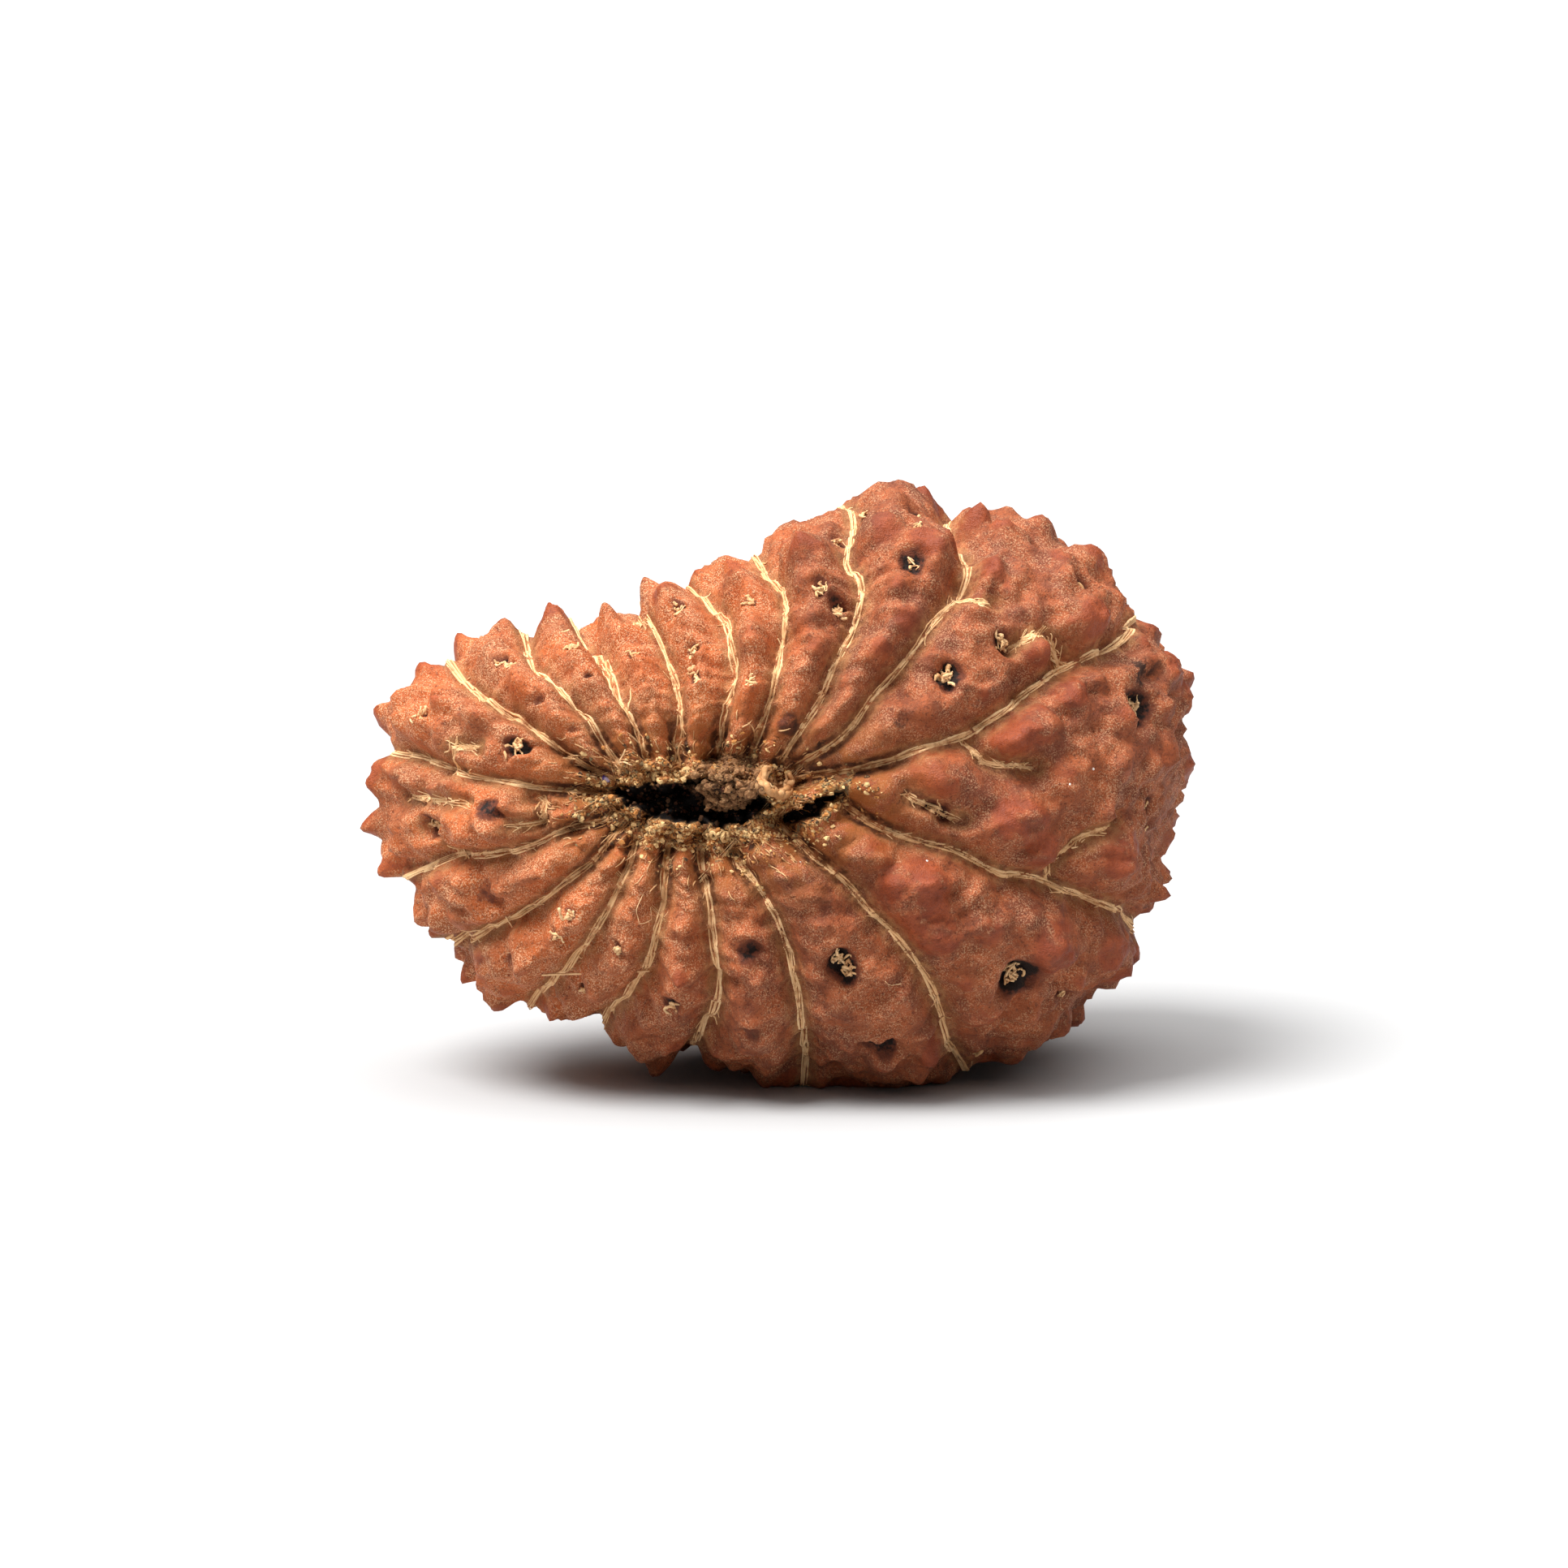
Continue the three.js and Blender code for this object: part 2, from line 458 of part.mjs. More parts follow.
// Small knobs on the front, where the listed knobs and pits leave room.
function frontRowKnobs(knobs, pits) {
  const draw = makeDraw(SEED + 2);
  const clearOf = (place, others, gap) => (
    others.every((other) => place.distanceTo(other.place) > gap + other.width)
  );
  const added = [];
  lobeRows(FRONT_ROWS, draw).forEach(({ place, room }) => {
    const width = draw(...FRONT_KNOB.width);
    const height = draw(...FRONT_KNOB.height) * room;
    if (clearOf(place, pits, 0.35) && clearOf(place, [...knobs, ...added], 0.15)) {
      added.push({ place, width, height });
    }
  });
  return added;
}

// Knobs and pits all over the far side.
function farRowBumps() {
  const draw = makeDraw(SEED + 3);
  const knobs = [];
  const pits = [];
  lobeRows(FAR_ROWS, draw).forEach(({ place, room }) => {
    const pick = draw();
    const kind = pick < FAR_PIT_SHARE ? FAR_PIT : FAR_KNOB;
    const width = draw(...kind.width);
    const height = draw(...kind.height);
    if (kind === FAR_PIT) pits.push({ place, width, height });
    else if (pick < FAR_PIT_SHARE + FAR_KNOB_SHARE) knobs.push({ place, width, height: height * room });
  });
  return { knobs, pits };
}

const far = farRowBumps();
const pits = [...facePits(), ...far.pits];
const listedKnobs = [...rimKnobs(), ...faceKnobs(), ...underKnobs()];
const knobs = [...listedKnobs, ...frontRowKnobs(listedKnobs, facePits()), ...far.knobs];
const lips = pits.map(({ place, width }) => (
  { place, width: LIP_SPREAD * width, height: LIP_HEIGHT }
));
const veinLines = veins.map(wholeRun);
const twigLines = BRANCHES.map((points) => (
  makeLine(curve(points, 0.25).map(([x, z]) => facePlace(x, z)))
));
const lumpKinds = [BROAD_LUMPS, MIDDLE_LUMPS, SMALL_LUMPS].map(([size, height]) => (
  { lumps: makeLumps(size), height }
));
const smallLumps = lumpKinds.at(-1).lumps;

// Lobes swell between the veins, which run as thin raised strands in the valleys.
function lobeHeight(p, v, slit) {
  let level = 1;
  let strand = Infinity;
  veinLines.forEach((line) => {
    const d = lineDistance(p, line);
    level *= 1 - VALLEY_FILL * bell(d / VALLEY_WIDTH);
    strand = Math.min(strand, d);
  });
  const twig = Math.min(...twigLines.map((line) => lineDistance(p, line)));
  const behind = smoothStep(radians(95), radians(115), v);
  const rim = smoothStep(radians(55), radians(85), v) * (1 - behind);
  const nearSlit = bell(Math.max(slit, 0) / SLIT_SURROUNDINGS);
  const extra = VALLEY_AT_RIM * rim + VALLEY_BEHIND * behind + VALLEY_AT_SLIT * nearSlit;
  const raised = STRAND_HEIGHT * bell(Math.min(strand, twig) / STRAND_WIDTH);
  return raised - (1 - level) * (VALLEY_DEPTH + extra) - TWIG_DEPTH * bell(twig / TWIG_WIDTH);
}

// The slit lies in a funnel and has a crusty edge, a plug of pith, a side hole and a curled lip.
function slitHeight(p, slit, hole) {
  const [plugX, plugZ, plugRadius] = PLUG;
  const [curlX, curlZ, curlRadius] = CURL;
  const plug = Math.exp(-((Math.hypot(p.x - plugX, p.z - plugZ) / plugRadius) ** 3));
  const curl = bell((Math.hypot(p.x - curlX, p.z - curlZ) - curlRadius) / CURL_WIDTH);
  const outside = Math.max(slit, 0);
  const crust = CRUST_HEIGHT + CRUST_ROUGHNESS * smallLumps(p);
  const opening = smoothStep(0.1, -0.4, slit) * (SLIT_DEPTH - PLUG_HEIGHT * plug);
  const sideOpening = smoothStep(0.06, -0.22, hole) * SIDE_HOLE_DEPTH;
  const raised = crust * bell(outside / CRUST_WIDTH) + CURL_HEIGHT * curl;
  return raised - FUNNEL_DEPTH * bell(outside / FUNNEL_WIDTH) - Math.max(opening, sideOpening);
}

function relief(p, v) {
  const inFront = v < Math.PI / 2;
  const slit = inFront ? chainDistance(p.x, p.z, SLIT) + SLIT_RAGGEDNESS * smallLumps(p) : Infinity;
  const hole = inFront ? chainDistance(p.x, p.z, SIDE_HOLE) : Infinity;
  const raised = bumpSum(p, knobs, KNOB_SHARPNESS) + bumpSum(p, lips, LIP_SHARPNESS);
  const uneven = lumpKinds.reduce((sum, { lumps, height }) => sum + height * lumps(p), 0);
  const scar = SCAR.reduce((sum, { depth, turn }) => sum - depth * bell((Math.PI - v) / turn), 0);
  const torn = inFront ? slitHeight(p, slit, hole) : 0;
  return lobeHeight(p, v, slit) + raised - bumpSum(p, pits, PIT_SHARPNESS) + torn + uneven + scar;
}

// A cube divided evenly and blown up to a ball, then to the seed.
function seedGeometry() {
  const box = new THREE.BoxGeometry(2, 2, 2, CELLS, CELLS, CELLS);
  box.deleteAttribute("normal");
  box.deleteAttribute("uv");
  const geometry = mergeVertices(box, 1e-4);
  const position = geometry.attributes.position;
  const even = (x) => Math.tan((x * Math.PI) / 4);
  const p = new THREE.Vector3();
  for (let i = 0; i < position.count; i += 1) {
    p.fromBufferAttribute(position, i);
    p.set(even(p.x), even(p.y), even(p.z)).normalize();
    const theta = Math.atan2(p.z, p.x);
    const v = Math.acos(clamp(-p.y, -1, 1));
    const base = smoothSeed(theta, v);
    base.addScaledVector(seedNormal(theta, v), relief(base, v));
    position.setXYZ(i, base.x, base.y, base.z);
  }
  return geometry;
}

// Leans the seed back, levels a small flat spot underneath and stands it on z = 0.
function layDown(geometry) {
  geometry.rotateX(-radians(LEAN_DEG));
  geometry.computeBoundingBox();
  const floor = geometry.boundingBox.min.z + FLAT_SPOT;
  const position = geometry.attributes.position;
  for (let i = 0; i < position.count; i += 1) {
    position.setZ(i, Math.max(position.getZ(i), floor));
  }
  geometry.computeBoundingBox();
  const middle = geometry.boundingBox.getCenter(new THREE.Vector3());
  geometry.translate(-middle.x, -middle.y, -floor);
  geometry.computeVertexNormals();
  return geometry;
}

const stone = new THREE.MeshStandardMaterial({ color: 0xa85c3c, roughness: 0.7, metalness: 0 });
const seed = new THREE.Mesh(layDown(seedGeometry()), stone);
seed.name = "seed";

const rudraksha = new THREE.Group();
rudraksha.add(seed);

export default rudraksha;
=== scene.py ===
# The looks of the rudraksha seed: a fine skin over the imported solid, with its vein strands, pit
# fibres, crusty slit and dust, on a pale floor in soft light.
import math

import bpy
import numpy as np
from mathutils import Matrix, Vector


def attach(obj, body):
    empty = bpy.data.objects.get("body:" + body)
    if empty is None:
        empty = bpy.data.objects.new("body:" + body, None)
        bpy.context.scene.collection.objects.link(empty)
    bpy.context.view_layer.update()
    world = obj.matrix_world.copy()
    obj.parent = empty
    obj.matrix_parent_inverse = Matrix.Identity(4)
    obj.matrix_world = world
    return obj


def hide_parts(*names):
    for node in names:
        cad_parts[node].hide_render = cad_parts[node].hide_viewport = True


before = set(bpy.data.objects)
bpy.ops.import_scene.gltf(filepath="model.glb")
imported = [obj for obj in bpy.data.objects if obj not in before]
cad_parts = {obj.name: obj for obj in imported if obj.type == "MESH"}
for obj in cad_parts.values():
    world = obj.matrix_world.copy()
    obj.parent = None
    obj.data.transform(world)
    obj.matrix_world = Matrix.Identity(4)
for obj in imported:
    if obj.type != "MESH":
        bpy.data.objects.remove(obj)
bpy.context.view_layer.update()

# Driving sizes, in millimetres and degrees, as in the solid's own source. The slit's middle is
# the origin of the seed's own axes, and its end faces -Y.
MM = 0.001
FRONT_DEPTH = 9.0
BACK_DEPTH = 9.5
FULLNESS = 2.35
BACK_SHIFT_X = 2.8
BACK_SHIFT_Z = 0.3
BACK_SLOPE = 0.015
LEAN_DEG = 10
FLAT_SPOT = 0.75
SEED = 4021

# Grid cells along each side of the cube that a mesh starts from: in the solid, and in the skin,
# whose cells are also drawn a little towards the front.
CAD_CELLS = 31
SKIN_CELLS = 128
FRONT_FINER = 0.2

# Valleys between the lobes: their depth on the front, and what the rim, the far side and the
# slit's surroundings add to it.
VALLEY_WIDTH = 0.72
VALLEY_DEPTH = 0.6
VALLEY_AT_RIM = -0.22
VALLEY_BEHIND = 0.2
VALLEY_AT_SLIT = 0.3
SLIT_SURROUNDINGS = 3.2
VALLEY_FILL = 0.92

# Veins in the valleys, how they wander behind the rim, and short side veins; the steps that their
# lines are made in, and how far off each kind is still felt, in mm.
STRAND_WIDTH = 0.16
STRAND_HEIGHT = 0.13
TWIG_WIDTH = 0.35
TWIG_DEPTH = 0.14
FAR_END_DEG = 173
WANDER_DEG = 4
WANDER_RATE = 3.2
BEND_REACH = 0.5
STEEPEST_BEND = 0.35
VEIN_STEP = 0.35
TWIG_STEP = 0.25
FAR_STEPS = 70
VEIN_REACH = 3.0
TWIG_REACH = 2.0

# The slit in its funnel, the hole beside it, the crust at its edge and the curled lip.
SLIT_DEPTH = 2.6
SIDE_HOLE_DEPTH = 1.4
PLUG_HEIGHT = 2.0
FUNNEL_DEPTH = 0.8
FUNNEL_WIDTH = 1.9
CRUST_HEIGHT = 0.3
CRUST_WIDTH = 0.5
CRUST_ROUGHNESS = 0.08
SLIT_RAGGEDNESS = 0.09
CURL_HEIGHT = 0.35
CURL_WIDTH = 0.2
SLIT_WALL = (0.1, -0.4)
SIDE_HOLE_WALL = (0.06, -0.22)

# The scar at the far end: the depth of a small hole and of a wider dent, and each one's turn.
SCAR = [(0.9, 0.09), (0.35, 0.3)]

# Knobs, and pits with a low lip round each.
KNOB_SHARPNESS = 2.6
PIT_SHARPNESS = 3.2
LIP_SHARPNESS = 2
FACE_KNOB_RISE = 1.5
LEAST_RIM_KNOB = 0.25
BUMP_REACH = 3
RIM_KNOB_TURN_DEG = 88
RIM_KNOB_STRAY_DEG = (-7, 5)
PIT_SPREAD = 1.15
LIP_SPREAD = 1.7
LIP_HEIGHT = 0.2

# Rows of drawn knobs and pits over the lobes: first row, last row and gap as turns over the seed
# in degrees from the slit, spacing along a row; and the range of each one's width and height.
FRONT_ROWS = (38, 80, 9, 1.9)
FRONT_KNOB = ((0.4, 0.62), (0.2, 0.5))
FAR_ROWS = (106, 166, 8.5, 1.5)
FAR_KNOB = ((0.5, 0.85), (0.4, 0.85))
FAR_PIT = ((0.32, 0.55), (0.35, 0.7))
FAR_PIT_SHARE = 0.22
FAR_KNOB_SHARE = 0.66

# How far drawn places stray: as a share of the gap between rows, as a share of the gap along one,
# and over the seed; and the gap in mm that small front knobs keep to pits and to other knobs.
ROW_STRAY = 0.25
PLACE_STRAY = 0.22
TURN_STRAY_DEG = 2.5
CLEAR_OF_PITS = 0.35
CLEAR_OF_KNOBS = 0.15

# Lumps all over the seed: height of each size; the two sizes that make edges ragged and crumbly;
# how many waves make one size, and the range of their lengths as shares of it.
LUMPS = {4.5: 0.14, 1.9: 0.07, 0.8: 0.028}
MEDIUM_LUMP = 0.8
SMALL_LUMP = 0.35
WAVE_COUNT = 14
WAVE_LENGTHS = (0.75, 1.35)

# What only the skin has: steep trenches beside the veins, crowned lobes, finer lumps, crumbly
# crust and pith, and ragged edges of the slit, the side hole and the pits.
TRENCH_WIDTH = 0.36
TRENCH_DEPTH = 0.42
TRENCH_AT_RIM = -0.2
TRENCH_AT_SLIT = 0.4
TRENCH_SURROUNDINGS = 4.0
TRENCH_SHARPNESS = 1.6
CROWN_WIDTH = 1.3
CROWN_HEIGHT = 0.3
CROWN_LIFT = 0.12
SKIN_LUMPS = {1.4: 0.06, 0.8: 0.05, 0.35: 0.032}
CRUMBLY_CRUST = 0.09
CRUMBLY_PITH = 0.14
PITH_EDGE = (0.3, -0.1)
SKIN_SLIT_RAGGEDNESS = 0.05
SKIN_HOLE_RAGGEDNESS = 0.04
PIT_RAGGEDNESS = np.array([0.06, 0.0, -0.06])

# What the finish is told: the knob height, pit depth and slit depth that count as full, the last two
# setting the painted shade in the pits and the slit, and how far past full the first two may go; how
# much farther off the side hole counts than the slit; where the thick end's brown begins and is full
# in X, partly painted shade, and how much sooner it comes underneath as painted shade on the lower
# half; and the scar's spread as a turn.
FULL_KNOB = 0.6
FULL_PIT = 0.5
FULL_DEEP = 0.8
PAST_FULL = 1.5
HOLE_FARTHER = 0.4
THICK_END = (-2, 8)
SHADED_SOONER_BELOW = 0.35
SCAR_SPREAD = 0.2

# The photograph's frame, and the pixel at the middle of the slit.
PHOTO_SIZE_PX = 1932
SLIT_PX = (866, 985)
PX_PER_MM = 33.86
LENS_MM = 250
SENSOR_MM = 36

# The studio: the floor's side in metres and its grey, the surround's strength below and above,
# and the lamp.
FLOOR_SIZE = 3.0
FLOOR_GREY = (0.46, 0.46, 0.46, 1)
SKY_LOW = 0.15
SKY_HIGH = 3.0
LAMP_FROM = (-0.4, -0.28, 0.87)
LAMP_STRENGTH = 4.4
LAMP_SPREAD_DEG = 34

# Rim without its knobs: angle round the slit in degrees, radius in mm.
OUTLINE = [
    (0, 16.8), (8, 17.15), (15, 17.55), (24, 17.2), (30, 16.6), (37, 15.6), (43, 14.7), (50, 13.75),
    (56, 13.2), (61, 12.55), (66, 11.7), (70, 10.6), (75, 9.7), (82, 8.75), (90, 8.25), (98, 7.8),
    (105, 7.8), (111, 7.2), (118, 7.5), (123, 7.5), (128, 8.5), (133, 8.7), (139, 9.3), (147, 10.2),
    (155, 10.85), (165, 11.75), (174, 11.9), (181, 11.6), (190, 11.4), (196, 11.3), (205, 10.8),
    (216, 10.35), (225, 10.1), (232, 9.65), (240, 9.0), (249, 9.1), (259, 9.4), (267, 9.3), (276, 9.5),
    (284, 10.1), (290, 10.8), (297, 11.15), (303, 11.9), (309, 12.7), (315, 13.7), (321, 14.15),
    (327, 14.95), (333, 15.4), (339, 16.15), (344, 16.2), (349, 16.75), (354, 16.45),
]

# Veins on the front, from the slit out to the rim: x, z in mm.
VEINS = [
    [(-3.45, 0.8), (-4.0, 1.2), (-4.7, 1.55), (-5.6, 2.3), (-6.85, 3.4), (-7.9, 4.05), (-9.2, 5.0)],
    [(-2.95, 1.05), (-3.3, 1.75), (-3.75, 2.4), (-4.2, 3.35), (-5.15, 4.55), (-6.25, 5.55),
     (-6.5, 6.05)],
    [(-1.9, 1.0), (-2.0, 1.6), (-2.1, 2.05), (-2.5, 3.35), (-3.05, 4.5), (-3.65, 5.8),
     (-4.25, 6.25)],
    [(-0.85, 1.05), (-0.95, 1.75), (-1.0, 2.8), (-1.2, 4.5), (-1.7, 6.05), (-2.15, 6.85)],
    [(0.35, 1.7), (0.45, 2.5), (0.6, 3.35), (0.85, 4.8), (0.7, 5.95), (0.4, 7.2), (-0.2, 7.8)],
    [(1.75, 1.5), (1.95, 2.2), (2.3, 3.25), (2.65, 4.5), (2.85, 6.75), (2.55, 8.0), (1.95, 8.7)],
    [(2.9, 1.4), (3.25, 2.0), (3.65, 2.6), (4.25, 3.65), (4.75, 4.9), (5.35, 6.25), (5.8, 7.8),
     (5.6, 8.9), (5.15, 9.55)],
    [(3.3, 1.1), (3.95, 1.5), (4.75, 2.0), (5.6, 2.8), (6.4, 3.95), (7.75, 5.6), (8.6, 6.85),
     (9.55, 7.9), (9.75, 9.3), (9.35, 9.9)],
    [(3.4, 0.65), (3.95, 0.9), (5.6, 1.1), (6.8, 1.4), (8.05, 1.85), (9.6, 2.3), (10.55, 2.8),
     (11.9, 3.75), (13.1, 4.7), (14.45, 5.45), (15.4, 5.8)],
    [(5.3, -0.25), (6.3, -0.9), (7.45, -1.4), (9.1, -1.8), (10.1, -2.3), (11.0, -2.75),
     (12.4, -3.0), (13.75, -3.55), (14.75, -3.95), (15.6, -4.2)],
    [(2.75, -0.7), (3.1, -1.05), (4.05, -2.05), (5.3, -3.1), (6.2, -4.2), (7.45, -5.55),
     (8.25, -6.8), (8.8, -8.0), (9.0, -9.15)],
    [(1.1, -1.6), (1.3, -2.45), (2.15, -3.5), (2.65, -4.55), (3.05, -5.95), (3.4, -7.6),
     (3.6, -9.05), (3.6, -9.7)],
    [(-0.1, -1.5), (-0.1, -2.45), (0.2, -3.9), (0.3, -5.35), (0.5, -6.8), (0.4, -7.8),
     (0.0, -8.75), (-0.45, -9.25)],
    [(-1.2, -1.4), (-1.4, -2.55), (-1.55, -4.3), (-1.9, -5.65), (-2.3, -6.9), (-2.9, -7.7),
     (-3.55, -8.1)],
    [(-2.2, -0.95), (-2.6, -1.6), (-2.9, -2.95), (-3.55, -4.3), (-4.25, -5.55), (-5.2, -6.7),
     (-5.8, -7.3), (-6.4, -7.6)],
    [(-2.85, -0.75), (-3.3, -1.3), (-4.25, -2.55), (-5.2, -3.3), (-6.4, -4.3), (-7.7, -4.95),
     (-9.0, -5.25)],
    [(-3.4, -0.3), (-3.7, -0.8), (-4.35, -1.0), (-5.6, -1.4), (-6.65, -1.9), (-7.95, -2.25),
     (-9.55, -2.35), (-10.4, -2.7)],
    [(-3.85, 0.35), (-5.8, 0.4), (-7.25, 0.65), (-8.7, 0.9), (-9.75, 1.2), (-11.15, 1.8)],
]

# Short side veins on the front: x, z in mm.
BRANCHES = [
    [(-9.75, 1.3), (-9.4, 2.0), (-8.4, 2.1)],
    [(-11.2, 0.1), (-10.4, 0.0), (-9.4, -0.1), (-8.5, -0.3)],
    [(-9.55, -2.3), (-9.75, -1.2), (-10.4, -1.1)],
    [(9.75, 2.3), (10.15, 1.6), (10.8, 1.25), (12.2, 1.2)],
    [(13.9, 5.2), (13.25, 5.8), (12.5, 6.15)],
    [(12.5, 6.15), (11.9, 6.0), (11.4, 5.6)],
    [(9.3, 7.6), (9.95, 7.15), (10.65, 7.2)],
    [(7.45, 0.1), (8.5, -0.4), (9.3, -0.75)],
    [(13.1, -3.2), (13.2, -2.4), (13.75, -1.5), (14.7, -0.8)],
    [(-6.9, -1.0), (-6.1, -0.9), (-6.0, -0.2), (-6.5, 0.1)],
]

# Knobs on the rim: angle round the slit in degrees, reach from its middle in mm, width in mm.
RIM_KNOBS = [
    (174.0, 12.6, 0.65), (170.0, 12.3, 0.45), (165.8, 12.35, 0.5), (161.5, 11.6, 0.4), (153.9, 11.3, 0.65),
    (148.6, 11.1, 0.5), (144.5, 10.0, 0.4), (139.3, 9.95, 0.5), (129.0, 9.35, 0.75),
    (116.5, 7.85, 0.5), (109.9, 7.4, 0.5), (103.3, 8.2, 0.6), (97.5, 8.4, 0.6), (92.0, 8.6, 0.6),
    (85.0, 8.75, 0.6),
    (80.9, 8.95, 0.4), (76.0, 9.8, 0.65), (69.0, 10.9, 0.9), (65.0, 12.4, 0.7), (56.5, 13.55, 0.8),
    (52.7, 14.15, 0.8), (47.4, 14.5, 0.55), (42.4, 15.0, 0.4), (38.6, 15.8, 0.5),
    (32.0, 16.5, 0.6), (29.2, 17.1, 0.6), (25.8, 17.2, 0.5), (22.0, 17.9, 0.85), (13.5, 18.0, 0.9),
    (8.6, 17.35, 0.6), (1.5, 17.1, 1.2), (-6.6, 16.8, 0.8), (-11.8, 17.5, 0.55), (-18.0, 16.8, 1.0),
    (-22.0, 16.7, 0.8), (-27.5, 15.6, 0.7), (-31.4, 15.6, 0.7), (-34.8, 14.8, 0.6),
    (-39.9, 14.6, 0.8), (-44.6, 14.3, 0.8), (-49.6, 13.3, 0.8), (-56.0, 12.75, 0.9),
    (-62.0, 12.0, 0.8), (-67.2, 11.9, 0.7), (-71.8, 11.65, 0.75), (-76.1, 10.75, 0.6),
    (-83.4, 9.8, 0.7), (-87.8, 9.9, 0.5), (-92.7, 9.6, 0.5), (-99.2, 10.1, 0.65),
    (-106.0, 9.5, 0.4), (-111.0, 9.6, 0.5), (-120.9, 9.3, 0.5), (-125.4, 9.9, 0.6),
    (-128.6, 10.3, 0.6), (-136.0, 10.7, 0.6), (-144.1, 11.0, 0.35), (-149.5, 11.1, 0.5),
    (-152.6, 11.45, 0.5), (-157.5, 11.4, 0.5), (-161.7, 11.75, 0.5), (-167.6, 12.15, 0.6),
    (-176.0, 12.1, 0.6),
]

# Knobs and low hills on the front: x, z, width, height in mm.
FACE_KNOBS = [
    (-10.75, -2.8, 0.5, 0.5), (-9.8, -2.95, 0.5, 0.5), (-8.15, -5.4, 0.6, 0.45),
    (-9.1, -5.55, 0.45, 0.4), (-11.7, 0.55, 0.45, 0.4), (-11.5, -0.7, 0.5, 0.4),
    (-7.15, 6.15, 0.6, 0.5), (-9.9, 4.6, 0.6, 0.4), (4.75, 10.6, 0.5, 0.25), (9.8, 10.1, 0.6, 0.5),
    (10.7, 9.7, 0.6, 0.4), (12.1, 9.5, 0.6, 0.3), (14.0, 8.4, 0.85, 0.45), (15.7, 6.95, 0.6, 0.35),
    (16.0, 5.9, 0.7, 0.35), (16.7, 4.5, 0.8, 0.35), (8.45, 1.1, 1.1, 0.5), (11.1, 2.1, 0.8, 0.5),
    (12.1, 2.8, 0.9, 0.55), (13.5, 4.1, 0.9, 0.45), (12.4, 5.45, 0.7, 0.5), (11.2, -0.75, 1.2, 0.5),
    (12.2, -1.8, 0.8, 0.4), (7.65, -3.4, 1.4, 0.6), (8.3, -4.85, 1.0, 0.5), (9.9, 7.05, 0.7, 0.45),
    (14.15, 6.4, 0.9, 0.5), (14.8, -1.9, 1.1, 0.45), (8.0, 8.9, 0.9, 0.4), (10.3, 8.3, 0.8, 0.35),
    (8.4, -9.1, 0.7, 0.5), (4.1, -9.9, 0.7, 0.2), (6.6, 9.6, 0.8, 0.35),
    (3.6, 8.9, 0.8, 0.4), (1.2, 8.0, 0.7, 0.35), (-1.2, 7.3, 0.8, 0.4), (-5.3, 6.9, 0.7, 0.45),
    (12.6, -5.2, 1.2, 0.45), (14.6, -5.4, 0.9, 0.4), (10.0, -7.7, 0.9, 0.4), (6.2, -9.8, 0.8, 0.25),
    (11.6, -8.4, 0.8, 0.25), (16.2, 1.6, 1.2, 0.25), (7.3, 6.4, 0.8, 0.3), (6.3, 5.4, 0.7, 0.3),
    (4.1, 5.6, 0.6, 0.25), (1.7, 5.7, 0.6, 0.25), (12.9, 0.7, 0.9, 0.3), (10.2, -4.6, 0.9, 0.3),
    (5.9, 0.6, 0.8, 0.3), (6.4, -2.0, 0.9, 0.35),
]

# Knobs underneath, behind the rim, that steady the seed: angle round it and turn over it in
# degrees, width and height in mm.
UNDER_KNOBS = [
    (-84, 116, 0.9, 0.7), (-95, 110, 0.8, 0.5), (93, 99, 0.7, 0.5),
]

